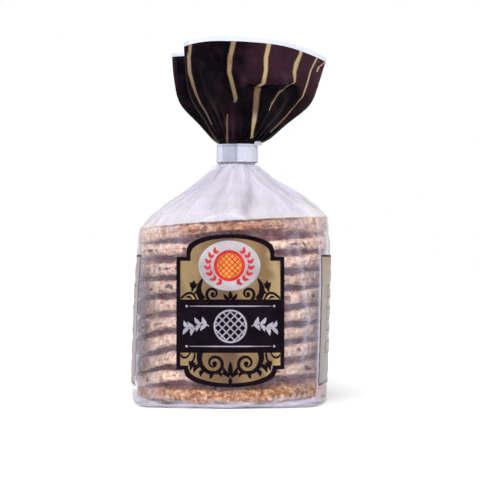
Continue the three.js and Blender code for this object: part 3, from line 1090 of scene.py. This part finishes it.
def waffleRings(number, shift, profile):
    # the surface round its own middle, how far the film presses each column, and how far the grid is turned
    form = waffleForm
    turn = np.arange(form["columns"]) / form["columns"]
    draws = np.random.default_rng(100 + number)
    radius = form["radius"] + draws.uniform(-0.4, 0.3)

    def uneven(reach, low, high):
        # waves round the rim with drawn sizes and phases
        return sum(
            draws.uniform(-reach, reach) * np.cos(fullTurn * count * turn + draws.uniform(0, fullTurn))
            for count in range(low, high)
        )

    wobble = uneven(0.2, 2, 12)
    swell = 1 + uneven(0.06, 3, 16)
    pressed = (1 - form["sideTaper"]) * smoothStep(np.abs(np.sin(fullTurn * turn)), 0.7, 0.95)
    rings = []
    for side, inset, core, rim, _ in profile:
        filled = min(inset, form["taper"]) * (1 - smoothStep(inset, form["taper"], 3 * form["taper"]))
        reach = radius - inset + filled * pressed
        reach = reach + wobble * smoothStep(form["radius"] - inset, 30, form["radius"])
        x, y = reach * np.sin(fullTurn * turn) + shift[0], -reach * np.cos(fullTurn * turn) + shift[1]
        up, down = coreHalves(number - 1, x)
        rimHalf = form["rim"] * swell * (1 + form["sideFullness"] * pressed) * rimShare(number, side, x, y)
        half = up if side > 0 else down
        height = side * (core * half + rim * np.minimum(rimHalf, half))
        rings.append(np.stack([x, y, height], axis=-1))
    return np.concatenate(rings), pressed, draws.uniform(0, np.pi / 2)


def browningAndPaintedLight(points, bakeAndPaintedShade, pressed, depthIn, topOne, bottomOne):
    # painted light on rim ends that lie in shade: paler where the film presses the rims and at the left;
    # darker over the label and golden on the two rims that show most
    bakeAndPaintedShade = bakeAndPaintedShade - 0.5 * pressed - 0.35 * smoothStep(-points[:, 0], 38, 47)
    if not (topOne or bottomOne):
        return bakeAndPaintedShade, 0 * bakeAndPaintedShade
    shownRim = (points[:, 1] < 0) * (1 - smoothStep(depthIn, 2, 5))
    overLabel = np.exp(-((points[:, 0] - 2) / 30) ** 4)
    return bakeAndPaintedShade + shownRim * (0.2 + 0.46 * overLabel), shownRim * (0.35 if topOne else 0.75)


def stainedFaces(points, number, waffle, insets):
    # 1 for each face of the rim that syrup has stained, more of them near the waffle's middle
    middles = points.reshape(len(insets), -1, 3)
    middles = (middles[1:] + middles[:-1]) / 2
    offMiddle = np.abs(middles[..., 2] - heightOn(waffle, middles[..., 0]))
    stains = 0.75 * grain(middles * (1, 1, 1.6), 4.6, 300 + number) + 0.45 * grain(middles, 1.9, 340 + number)
    nearEdge = insets[1:, None] < waffleForm["taper"]
    return np.where(nearEdge & (stains > 0.33 + 0.3 * offMiddle), 1, 0).ravel()


def makeWaffle(number, waffle, shift):
    form = waffleForm
    bottomOne, topOne = number == 1, number == len(stack)
    upper = [(1, *row) for row in waffleProfile(form["faceRings"] if topOne else form["hiddenRings"])]
    lower = [(-1, *row) for row in waffleProfile(form["faceRings"] if bottomOne else form["hiddenRings"])]
    profile = lower + [(0, 0, 0, 0, 0.3)] + upper[::-1]
    rows, columns = len(profile), form["columns"]
    points, pressed, turned = waffleRings(number, shift, profile)
    insets = np.array([row[1] for row in profile])
    bakeAndPaintedShade = np.repeat([row[4] for row in profile], columns)
    depthIn = np.repeat(insets, columns)
    points, bakeAndPaintedShade = withGridRelief(points, bakeAndPaintedShade, depthIn, turned, topOne - bottomOne)
    points, bakeAndPaintedShade = withCrumbs(points, bakeAndPaintedShade, depthIn, number)
    bakeAndPaintedShade, toast = browningAndPaintedLight(points, bakeAndPaintedShade, np.tile(pressed, rows), depthIn, topOne, bottomOne)
    points[:, 2] = np.maximum(points[:, 2] + heightOn(waffle, points[:, 0]), 1.5)
    points = keptInFilm(points)
    caps = [list(range(columns))[::-1], list(range((rows - 1) * columns, rows * columns))]
    piece = meshPiece(
        f"waffle{number}", points, gridFaces(rows, columns) + caps, [wafer, syrup],
        faceMaterials=np.concatenate([stainedFaces(points, number, waffle, insets), [0, 0]]),
        attributes={"bakeAndPaintedShade": np.clip(bakeAndPaintedShade, 0, 1), "toast": toast},
    )
    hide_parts("bag")


def withGridRelief(points, bakeAndPaintedShade, depthIn, turned, shownSide):
    # the pressed grid of the face that can be seen: 1 is the upper one, -1 the lower one, 0 neither
    form = waffleForm
    across = points[:, 0] * np.cos(turned) + points[:, 1] * np.sin(turned)
    along = -points[:, 0] * np.sin(turned) + points[:, 1] * np.cos(turned)
    rib = np.maximum(*[np.cos(np.pi * place / form["gridPitch"]) ** 2 for place in (across, along)])
    pit = form["gridDepth"] * (1 - smoothStep(rib, 0.55, 0.9)) * smoothStep(depthIn, 2, 6)
    shown = points[:, 2] * shownSide > 2
    points = points.copy()
    points[:, 2] -= np.where(shown, pit * np.sign(points[:, 2]), 0)
    bakeAndPaintedShade = bakeAndPaintedShade + np.where(shown, -0.35 * smoothStep(rib, 0.55, 0.95) - 0.05, 0)
    return points, bakeAndPaintedShade


def withCrumbs(points, bakeAndPaintedShade, depthIn, number):
    # torn crumbs on the rim: coarse and fine grain that moves points outwards and up or down
    nearRim = 1 - smoothStep(depthIn, 2.6, 6)

    def grains(*rows):
        # rows of (share, size, seed)
        return sum(share * grain(points, size, seed + number) for share, size, seed in rows)

    coarse = grain(points, 2.8, number)
    outward = 0.55 * coarse + grains((0.5, 5.5, 20), (0.5, 1.4, 40), (0.22, 0.85, 80))
    upward = grains((0.3, 4.5, 140), (0.4, 2.2, 120), (0.25, 1.1, 160))
    plan = np.linalg.norm(points[:, :2], axis=1)
    torn = points.copy()
    torn[:, :2] *= (1 + outward * nearRim / np.maximum(plan, 1))[:, None]
    torn[:, 2] += upward * nearRim * np.clip(np.abs(points[:, 2]) / 2, 0.2, 1)
    # crumbs that stand out are paler and sunken ones darker: painted light and shade
    return torn, bakeAndPaintedShade - 0.32 * outward * nearRim + 0.1 * coarse


for number, (waffle, shift) in enumerate(zip(stack, waffleShifts), 1):
    makeWaffle(number, waffle, shift)
print("waffles made")


# The film folded under the stack

underFolds = {
    "strips": 3,
    "columns": 300,
    "rows": 5,
    "reach": (45.507, 47.871),
    "heights": (0.7, 2.3),
    "seed": 61,
    "sway": 0.012,
    "bow": 0.02,
    "rumple": 0.25,
    "haze": (0.36, 0.26),  # its middle and its swing
}


def makeUnderFolds():
    turn = np.arange(underFolds["columns"]) / underFolds["columns"]
    points, faces, hazes = [], [], []
    draws = np.random.default_rng(underFolds["seed"])
    lowest, highest = underFolds["heights"]
    for fold in range(underFolds["strips"]):
        start = sum(len(part) for part in points)
        reach = np.interp(fold, [0, underFolds["strips"] - 1], underFolds["reach"])
        sway = pleatRandom(turn, int(draws.integers(1000)), 3, 24)
        rise = (highest - lowest) * (0.75 + 0.25 * pleatRandom(turn, 70 + fold, 2, 12))
        for share in np.linspace(0, 1, underFolds["rows"]):
            height = lowest + rise * share
            row = bodyPoint(turn, height)
            fit = 1 + underFolds["sway"] * sway + underFolds["bow"] * np.sin(np.pi * share)
            row[:, :2] *= reach / body["halfDepth"] * fit[:, None]
            row[:, 2] = np.clip(height + underFolds["rumple"] * sway, 0.5, 2.5)
            points.append(row)
            hazes.append(underFolds["haze"][0] + underFolds["haze"][1] * np.clip(sway, -1, 1))
        faces += gridFaces(underFolds["rows"], underFolds["columns"], start=start)
    folds = meshPiece("underFolds", np.concatenate(points), faces, [clearFilm],
                      attributes={"haze": np.clip(np.concatenate(hazes), 0.1, 0.8)})
    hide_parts("bag")


makeUnderFolds()
print("folded film made")


# The band round the neck

bandForm = {
    "thickness": 0.5,
    "gap": 0.15,
    "slack": 0.9,
    "squareness": 3,
    "overlap": 0.12,
    "liftsFrom": 0.78,
    "liftsTo": 0.96,
    "steps": 260,
    "rows": 26,
    "lipAt": 1.2,  # the fold line under the top edge
    "lipDepth": 0.22,
    "lipWidth": 0.22,
    "lapLift": 0.7,
    "rumple": 0.14,
    "rise": bandHigh[2] - bandLow[2],
    "seamAt": 0.2,
    "shade": 0.5,
}


def makeBand():
    form = bandForm
    turns = np.linspace(0, 1 + form["overlap"], form["steps"])
    turn = form["overlap"] - turns
    share = np.linspace(0, 1, form["rows"])
    lift = (form["lapLift"] + form["gap"]) * smoothStep(turns, form["liftsFrom"], form["liftsTo"])
    height = share * form["rise"]
    lip = form["lipDepth"] * np.exp(-(((form["rise"] - height) - form["lipAt"]) / form["lipWidth"]) ** 2)
    rumple = form["rumple"] * pleatRandom(turn, 77, 3, 26)[None, :] * np.sin(np.pi * share)[:, None]
    edgeWave = form["rumple"] * pleatRandom(turn, 78, 4, 40)

    def sheet(offset):
        reach = lift[None, :] + offset + rumple - (lip[:, None] if offset else 0)
        sine, cosine = np.sin(fullTurn * turn), -np.cos(fullTurn * turn)
        rounded = [np.sign(value) * np.abs(value) ** (2 / form["squareness"]) for value in (sine, cosine)]
        x = neck["x"] + (neck["halfWidth"] + form["slack"] + reach) * rounded[0]
        y = (neck["halfDepth"] + form["slack"] + reach) * rounded[1]
        z = neck["bottom"] + height[:, None] + edgeWave[None, :] * (share[:, None] - 0.5) * 2
        return np.stack([x, y, np.clip(z, bandLow[2] - 0.3, bandHigh[2] + 0.3)], axis=-1)

    outside, inside = sheet(form["thickness"]), sheet(0)
    points = np.concatenate([outside.reshape(-1, 3), inside.reshape(-1, 3)])
    # painted shade on the layer under the lap, but for a strip at its far left
    fromSeam = (neck["x"] + form["seamAt"]) - points[:, 0]
    shade = 0.06 + form["shade"] * smoothStep(fromSeam, -0.1, 0.3) * (1 - smoothStep(fromSeam, 7, 8.4))
    # painted shade along the fold line under the top edge
    shade = shade + 0.5 * np.exp(-((bandHigh[2] - points[:, 2] - form["lipAt"]) / 0.3) ** 2)
    band = meshPiece("neckBand", points, shellFaces(*outside.shape[:2]).tolist(), [tape],
                     attributes={"shade": shade}, sharpFrom=40)
    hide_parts("band")


makeBand()
tabForm = {
    "left": 12,
    "width": 4,
    "y": -6.9,
    "low": neck["top"] - 0.6,
    "high": neck["top"] + 1.9,
    "rows": 6,
    "columns": 22,
    "thickness": 0.25,
}


def makeBandTab():
    # the torn end of the tape that stands up at the right
    share = np.linspace(0, 1, tabForm["columns"])
    x = tabForm["left"] + tabForm["width"] * share
    ragged = tabForm["high"] - 0.8 * share + 0.35 * np.sin(19 * share) + 0.25 * np.sin(47 * share)
    points = []
    for rise in np.linspace(0, 1, tabForm["rows"]):
        z = tabForm["low"] + (ragged - tabForm["low"]) * rise
        y = tabForm["y"] + 2.6 * share ** 2 - 0.5 * rise + 0.15 * np.sin(9 * share)
        points.append(np.stack([x + 0.4 * rise, y, z], axis=-1))
    front = np.concatenate(points)
    faces = shellFaces(tabForm["rows"], tabForm["columns"])[:, ::-1].tolist()
    back = front + (0, tabForm["thickness"], 0)
    tab = meshPiece("bandTab", np.concatenate([front, back]), faces, [tape])
    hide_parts("band")


makeBandTab()
print("band made")


# Print on the front, the back and the gussets, as thin layers just over the film

label = {
    "halfWidth": 26.45,
    "bottom": 19.2,
    "top": 74.3,
    "archHalf": 21.5,
    "archRise": 11.1,
    "archStep": 3.6,
    "footHalf": 22.6,
    "footDrop": 8.6,
    "footStep": 1.2,
    "border": 2,
    "bandBottom": 27.4,
    "bandTop": 53.5,
    "oval": (-0.5, 70, 15.2, 12.3),
}
# How far each layer of the print stands off the film
layers = {
    "plate": 0.12,
    "field": 0.22,
    "scroll": 0.32,
    "emblem": 0.42,
    "detail": 0.52,
    "top": 0.62,
    "grid": 0.72,
}


def strip(first, second, steps):
    # a flat shape between two lines with the same number of points
    first, second = np.array(first, float), np.array(second, float)
    rows = [first + (second - first) * share for share in np.linspace(0, 1, steps + 1)]
    return np.concatenate(rows), gridFaces(steps + 1, len(first), closed=False)


def facingOut(shape):
    # the same shape with all its faces turned to the front
    places, faces = shape
    turned = []
    for face in faces:
        corners = places[face]
        ahead = np.roll(corners, -1, axis=0)
        area = np.sum(corners[:, 0] * ahead[:, 1] - ahead[:, 0] * corners[:, 1])
        turned.append(face if area > 0 else face[::-1])
    return places, turned


def joined(shapes):
    places, faces, count = [], [], 0
    for shape in map(facingOut, shapes):
        places.append(shape[0])
        faces += [[index + count for index in face] for face in shape[1]]
        count += len(shape[0])
    return np.concatenate(places), faces


def mirrored(shapes):
    return shapes + [(places * (-1, 1), faces) for places, faces in shapes]


def shifted(shapes, x, z):
    return [(places + (x, z), faces) for places, faces in shapes]


def spanBetween(low, high, left, right, pitch=1.5):
    # the area between two curves of x
    x = np.linspace(left, right, max(2, int((right - left) / pitch) + 1))
    lowLine, highLine = low(x), high(x)
    rows = max(1, int(np.max(highLine - lowLine) / pitch))
    return strip(np.stack([x, lowLine], axis=-1), np.stack([x, highLine], axis=-1), rows)


def arched(half, rise, base, sign=1):
    return lambda x: base + sign * rise * np.sqrt(np.clip(1 - (x / half) ** 2, 0, 1))


def level(z):
    return lambda x: z + 0 * x


def labelArea(inset, upper=None):
    # the whole label's area, or its upper or lower field beside the dark band
    half = label["halfWidth"] - inset
    archHalf, footHalf = label["archHalf"] - inset, label["footHalf"] - inset
    top, bottom = label["top"] - inset, label["bottom"] + inset
    arch = arched(archHalf, label["archRise"] - label["archStep"], top + label["archStep"])
    foot = arched(footHalf, label["footDrop"] - label["footStep"], bottom - label["footStep"], -1)
    shapes = []
    if upper is None or upper:
        low = label["bandTop"] if upper else 40
        shapes += [spanBetween(level(low), arch, -archHalf, archHalf, 0.9)]
        shapes += mirrored([spanBetween(level(low), level(top), archHalf, half)])
    if not upper:
        high = 40 if upper is None else label["bandBottom"]
        shapes += [spanBetween(foot, level(high), -footHalf, footHalf, 0.9)]
        shapes += mirrored([spanBetween(level(bottom), level(high), footHalf, half)])
    return shapes


def disc(x, z, halfWidth, halfHeight, rings=8, sides=56, inner=0.04):
    angle = np.linspace(0, fullTurn, sides + 1)
    edge = np.stack([x + halfWidth * np.cos(angle), z + halfHeight * np.sin(angle)], axis=-1)
    middle = np.array([x, z])
    return strip(middle + (edge - middle) * inner, edge, rings)


def ring(x, z, halfWidth, halfHeight, width):
    return disc(x, z, halfWidth, halfHeight, 1, inner=1 - width / halfWidth)


def stroke(path, widths):
    # a band along a path, as wide as the widths say
    path = np.array(path, float)
    widths = np.interp(np.linspace(0, 1, len(path)), np.linspace(0, 1, len(widths)), widths)
    heading = np.gradient(path, axis=0)
    heading /= np.maximum(np.linalg.norm(heading, axis=1, keepdims=True), 1e-9)
    side = np.stack([-heading[:, 1], heading[:, 0]], axis=-1) * (widths / 2)[:, None]
    return strip(path - side, path + side, 2)


def scroll(places, widths, steps=30):
    return stroke(curveThrough(places, np.linspace(0, 1, steps)), widths)


def curl(x, z, fromReach, toReach, fromAngle, toAngle, widths, steps):
    # a spiral arm round a middle, with angles in degrees
    angle = np.radians(np.linspace(fromAngle, toAngle, steps))
    reach = np.linspace(fromReach, toReach, steps)
    return stroke(np.stack([x + reach * np.cos(angle), z + reach * np.sin(angle)], axis=-1), widths)


def leaf(base, tip, width, bend=0.0, fullest=0.8):
    # a pointed leaf from base to tip, bent to its left by a share of its length
    base, tip = np.array(base, float), np.array(tip, float)
    along = tip - base
    side = np.array([-along[1], along[0]])
    share = np.linspace(0, 1, 12)
    spine = base + share[:, None] * along + (bend * np.sin(np.pi * share))[:, None] * side
    half = width / 2 * np.sin(np.pi * share ** fullest)[:, None] * side / np.linalg.norm(side)
    return strip(spine - half, spine + half, 2)


def leafHead(x, z, size, lean):
    # a head of three blunt leaves on a cup, leaning to one side by an angle in degrees
    turned = np.radians(lean)
    parts = [leaf((0, -0.35), (0, 1), 0.62, fullest=0.9), leaf((-0.12, -0.3), (-0.62, 0.62), 0.5, -0.12),
             leaf((0.12, -0.3), (0.62, 0.62), 0.5, 0.12), leaf((-0.5, 0.02), (0.5, 0.02), 0.75),
             leaf((0, 0.1), (0, -0.95), 0.42)]
    cosine, sine = np.cos(turned), np.sin(turned)
    turning = np.array([[cosine, sine], [-sine, cosine]])
    return [(places * size @ turning + (x, z), faces) for places, faces in parts]


def lowerScrolls():
    # volutes hung from the dark band, leaf heads at the sides and a fan of leaves in the middle
    shapes = [
        scroll([(14.8, 27.6), (15.1, 24.2), (13.8, 20.7), (11, 18.2), (7.4, 17.7)], [3, 2.6, 2.2, 1.9, 1.8]),
        curl(7.9, 22.3, 4.6, 1.2, -97, -500, [1.8, 1.6, 1.3, 0.9, 0.5], 64),
        disc(7.7, 22.2, 1.2, 1.2, 2, 18),
        leaf((14.2, 21.8), (18, 17.4), 2.4, 0.2),
        leaf((12.6, 19.2), (14.6, 15.6), 2.1, 0.22),
        leaf((9.8, 18), (10.2, 14.6), 1.8, -0.2),
        leaf((6.6, 18), (4.2, 15.4), 1.6, -0.2),
        scroll([(17.4, 27.6), (17.6, 25.4), (18.6, 22.4)], [0.7, 1, 0.7], 12),
        scroll([(19.6, 27.5), (21.2, 25.4), (23.2, 25.2), (24.3, 26.6)], [0.6, 1, 1.1, 0.7], 16),
        leaf((0.4, 16.2), (3.4, 20.8), 2.1, -0.15),
        leaf((0.4, 15.4), (4.8, 17.2), 1.9, 0.2),
    ]
    middle = [leaf((0, 16), (0, 23.6), 2.4), leaf((0, 12.2), (0, 15.6), 2)]
    return mirrored(shapes + leafHead(19, 21.4, 3.1, 14)) + middle


def upperScrolls():
    # volutes that rise from the dark band beside and under the oval
    shapes = [
        scroll([(13.4, 53.4), (15.2, 56.4), (15.2, 60), (13.6, 63.6)], [3.2, 2.9, 2.3, 0.8]),
        curl(8.6, 56.2, 3.3, 0.9, -60, 350, [1.5, 1.4, 1.1, 0.8, 0.5], 60),
        disc(8.6, 56.2, 0.95, 0.95, 2, 16),
        leaf((0.4, 53.6), (3.4, 56.6), 1.7, -0.15),
        scroll([(16.6, 53.4), (18.4, 56.2), (21.2, 56.4), (24.3, 53.9)], [0.8, 1.1, 1.2, 1], 20),
        leaf((18.6, 53.5), (22.4, 54.2), 1.2, 0.25),
        leaf((15.6, 57.6), (18, 55.8), 1.2, 0.1),
    ]
    return mirrored(shapes + leafHead(18.3, 59.8, 3.2, 10)) + [leaf((0, 53.6), (0, 57.8), 1.9)]


def emblemSprays():
    # a disc with a spray of leaves on each side, open over it
    shapes = []
    for place in range(7):
        angle = np.radians(-70 + 19 * place)
        root = np.array([10.6 * np.cos(angle), 9.1 * np.sin(angle)])
        for side, length in ((0.6, 3.1), (-0.5, 2.9)):
            ahead = angle + np.pi / 2 - side
            shapes.append(leaf(root, root + length * np.array([np.cos(ahead), np.sin(ahead)]), 1.5, 0.08))
    return shifted(mirrored(shapes) + [disc(0, 0, 7.6, 7.6)], *label["oval"][:2])


def gridDisc(x, z, radius, pitch, line):
    # lines of a waffle grid inside a circle, turned by 45 degrees
    shapes = []
    for place in np.arange(-radius + pitch / 2, radius, pitch):
        half = np.sqrt(max(radius ** 2 - place ** 2, 0))
        if half < pitch / 3:
            continue
        ends = np.array([(-half, place), (half, place)])
        for turned in (1, -1):
            turning = np.array([[1, turned], [-turned, 1]]) * np.sqrt(0.5)
            path = ends @ turning + (x, z)
            shapes.append(stroke(path[0] + (path[1] - path[0]) * np.linspace(0, 1, 10)[:, None], [line]))
    return shapes


def bandOrnament():
    # a waffle with a garland of leaves on both sides, where the dark band is otherwise empty
    shapes = [scroll([(10.4, 40.4), (14, 42), (18, 39), (22.6, 40.6)], [0.4, 0.8, 0.8, 0.4])]
    for x, z, lean in ((11.6, 41.3, 8), (14.6, 41.5, -6), (17.6, 39.8, -14), (20.4, 39.5, 4)):
        for side in (1, -1):
            angle = np.radians(lean + side * 54)
            tip = (x + 4.4 * np.cos(angle), z + 4.4 * np.sin(angle))
            shapes.append(leaf((x, z), tip, 1.9, -0.12 * side))
    rules = []
    for z in (50.2, 30.6):
        rules.append(stroke([(x, z) for x in np.linspace(-20, 20, 41)], [0.2, 0.6, 0.6, 0.2]))
        rules += mirrored([disc(21.4, z, 0.6, 0.6, 1, 14)])
    return mirrored(shapes) + rules


gusset = {
    "halfWidth": 43.2,
    "bottom": 10.6,
    "top": 75.4,
    "border": 1.1,
    "ruleHalf": 30,
    "rules": (26, 60, 7),  # lowest, highest and how many
    "rule": 0.5,
}


def panelPoint(side, across, height, offset):
    # a place on one side of the bag: across runs to the viewer's right
    facing = across * (-1 if side == 2 else 1)
    widthShare, depthShare = sharesAt(facing, height)
    turn = turnOn(side, across / (depthShare if side % 2 else widthShare))
    angle = side * np.pi / 2
    outward = np.array([np.sin(angle), -np.cos(angle), 0])
    return filmPoint(turn, height) + offset * outward


def printLayer(name, shape, side, offset, material, halfWidth, upright=False):
    # the colours run across the shape, or up it
    places, faces = shape
    points = panelPoint(side, places[:, 0], places[:, 1], offset)
    rise = (places[:, 1] - gusset["bottom"]) / (gusset["top"] - gusset["bottom"])
    across = rise if upright else places[:, 0] / (2 * halfWidth) + 0.5
    piece = meshPiece(name, points, faces, [material], attributes={"across": across})
    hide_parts("bag")


def printLabel():
    oval = label["oval"]
    parts = [
        ("Plate", labelArea(0), "plate", labelDark),
        ("Gold", labelArea(label["border"], True) + labelArea(label["border"], False), "field", labelGold),
        ("Scrolls", upperScrolls() + lowerScrolls(), "scroll", labelDark),
        ("Oval", [disc(*oval)], "emblem", ovalWhite),
        ("Sprays", emblemSprays(), "detail", redPrint),
        ("Disc", [disc(*oval[:2], 6, 6)], "top", warmGold),
        ("DiscGrid", gridDisc(*oval[:2], 5.8, 2, 0.5), "grid", redPrint),
        ("Ornament", bandOrnament() + [ring(0, 40.4, 8.2, 8.2, 0.9)] + gridDisc(0, 40.4, 7.6, 2.8, 0.6),
         "scroll", silverPrint),
    ]
    for part, shapes, layer, material in parts:
        shape = joined(shapes)
        for side, facing in ((0, "front"), (2, "back")):
            printLayer(f"{facing}{part}", shape, side, layers[layer], material, label["halfWidth"])


def rectangle(left, right, bottom, top):
    return spanBetween(level(bottom), level(top), left, right)


def printGussets():
    # the right one has a gold field and the left one a pale one
    half, low, high, border = gusset["halfWidth"], gusset["bottom"], gusset["top"], gusset["border"]
    line, reach = gusset["rule"] / 2, gusset["ruleHalf"]
    rules = [rectangle(-reach, reach, z - line, z + line) for z in np.linspace(*gusset["rules"])]
    rules += [rectangle(x - line, x + line, *gusset["rules"][:2]) for x in (-reach, 4, reach)]
    field = [rectangle(border - half, half - border, low + border, high - border)]
    edging = mirrored([rectangle(half - border, half, low, high)])
    edging += [rectangle(border - half, half - border, z, z + border) for z in (low, high - border)]
    for name, shapes, side, layer, material in (
        ("rightFrame", edging, 1, "plate", labelDark),
        ("rightGold", field, 1, "plate", panelGold),
        ("rightRules", rules, 1, "field", labelDark),
        ("leftFrame", edging, 3, "plate", labelDark),
        ("leftField", field, 3, "plate", panelLilac),
        ("leftRules", rules, 3, "field", labelDark),
    ):
        upright = material in (panelGold, panelLilac)
        printLayer(name, joined(shapes), side, layers[layer], material, gusset["halfWidth"], upright)


printLabel()
printGussets()
print("print made")


# Floor, light and camera

def makeFloor():
    half, under = 6000, -0.1
    corners = [(-half, -half, under), (half, -half, under), (half, half, under), (-half, half, under)]
    mesh = bpy.data.meshes.new("floor")
    mesh.from_pydata((np.array(corners) * mm).tolist(), [], [(0, 1, 2, 3)])
    mesh.materials.append(newMaterial("paleFloor", roughness=0.9, specular=0.1, color=(0.95, 0.95, 0.95, 1)))
    floor = placed("floor", mesh)


def addSun(name, strength, softness, pitch, turn):
    lamp = bpy.data.lights.new(name, "SUN")
    lamp.energy = strength
    lamp.angle = np.radians(softness)
    placed(name, lamp).rotation_euler = (np.radians(pitch), 0, np.radians(turn))


def makeStudio():
    scene = bpy.context.scene
    world = bpy.data.worlds.new("studio")
    world.use_nodes = True
    # a room that is brighter overhead, and plain white where the camera looks
    white = (1, 1, 1, 1)
    place = addNode(world, "ShaderNodeTexCoord").outputs["Generated"]
    rise = addNode(world, "ShaderNodeSeparateXYZ", Vector=place).outputs["Z"]
    room = world.node_tree.nodes["Background"]
    room.inputs["Color"].default_value = white
    feed(world, room.inputs["Strength"], spread(world, rise, -0.1, 0.9, 0.34, 0.95))
    backdrop = addNode(world, "ShaderNodeBackground", {"Color": white, "Strength": 1})
    cameraLooks = addNode(world, "ShaderNodeLightPath").outputs["Is Camera Ray"]
    mix = addNode(world, "ShaderNodeMixShader", Fac=cameraLooks)
    for place, shader in ((1, room), (2, backdrop)):
        feed(world, mix.inputs[place], shader.outputs["Background"])
    feed(world, world.node_tree.nodes["World Output"].inputs["Surface"], mix.outputs["Shader"])
    scene.world = world
    addSun("keyLight", 2.05, 34, 52, -16)
    addSun("fillLight", 0.85, 60, 60, 40)
    addSun("leftLight", 0.9, 60, 72, -70)
    scene.view_settings.view_transform = "Standard"
    scene.cycles.transparent_max_bounces = 24
    scene.cycles.max_bounces = 10


def makeCamera():
    lens = bpy.data.cameras.new("camera")
    lens.lens = eye["lens"]
    lens.sensor_width = eye["sensor"]
    camera = placed("camera", lens)
    camera.location = (eye["x"] * mm, -eye["distance"] * mm, eye["height"] * mm)
    camera.rotation_euler = (np.radians(90 + eye["tilt"]), 0, 0)
    bpy.context.scene.camera = camera


makeFloor()
makeStudio()
makeCamera()
print("floor, light and camera made")
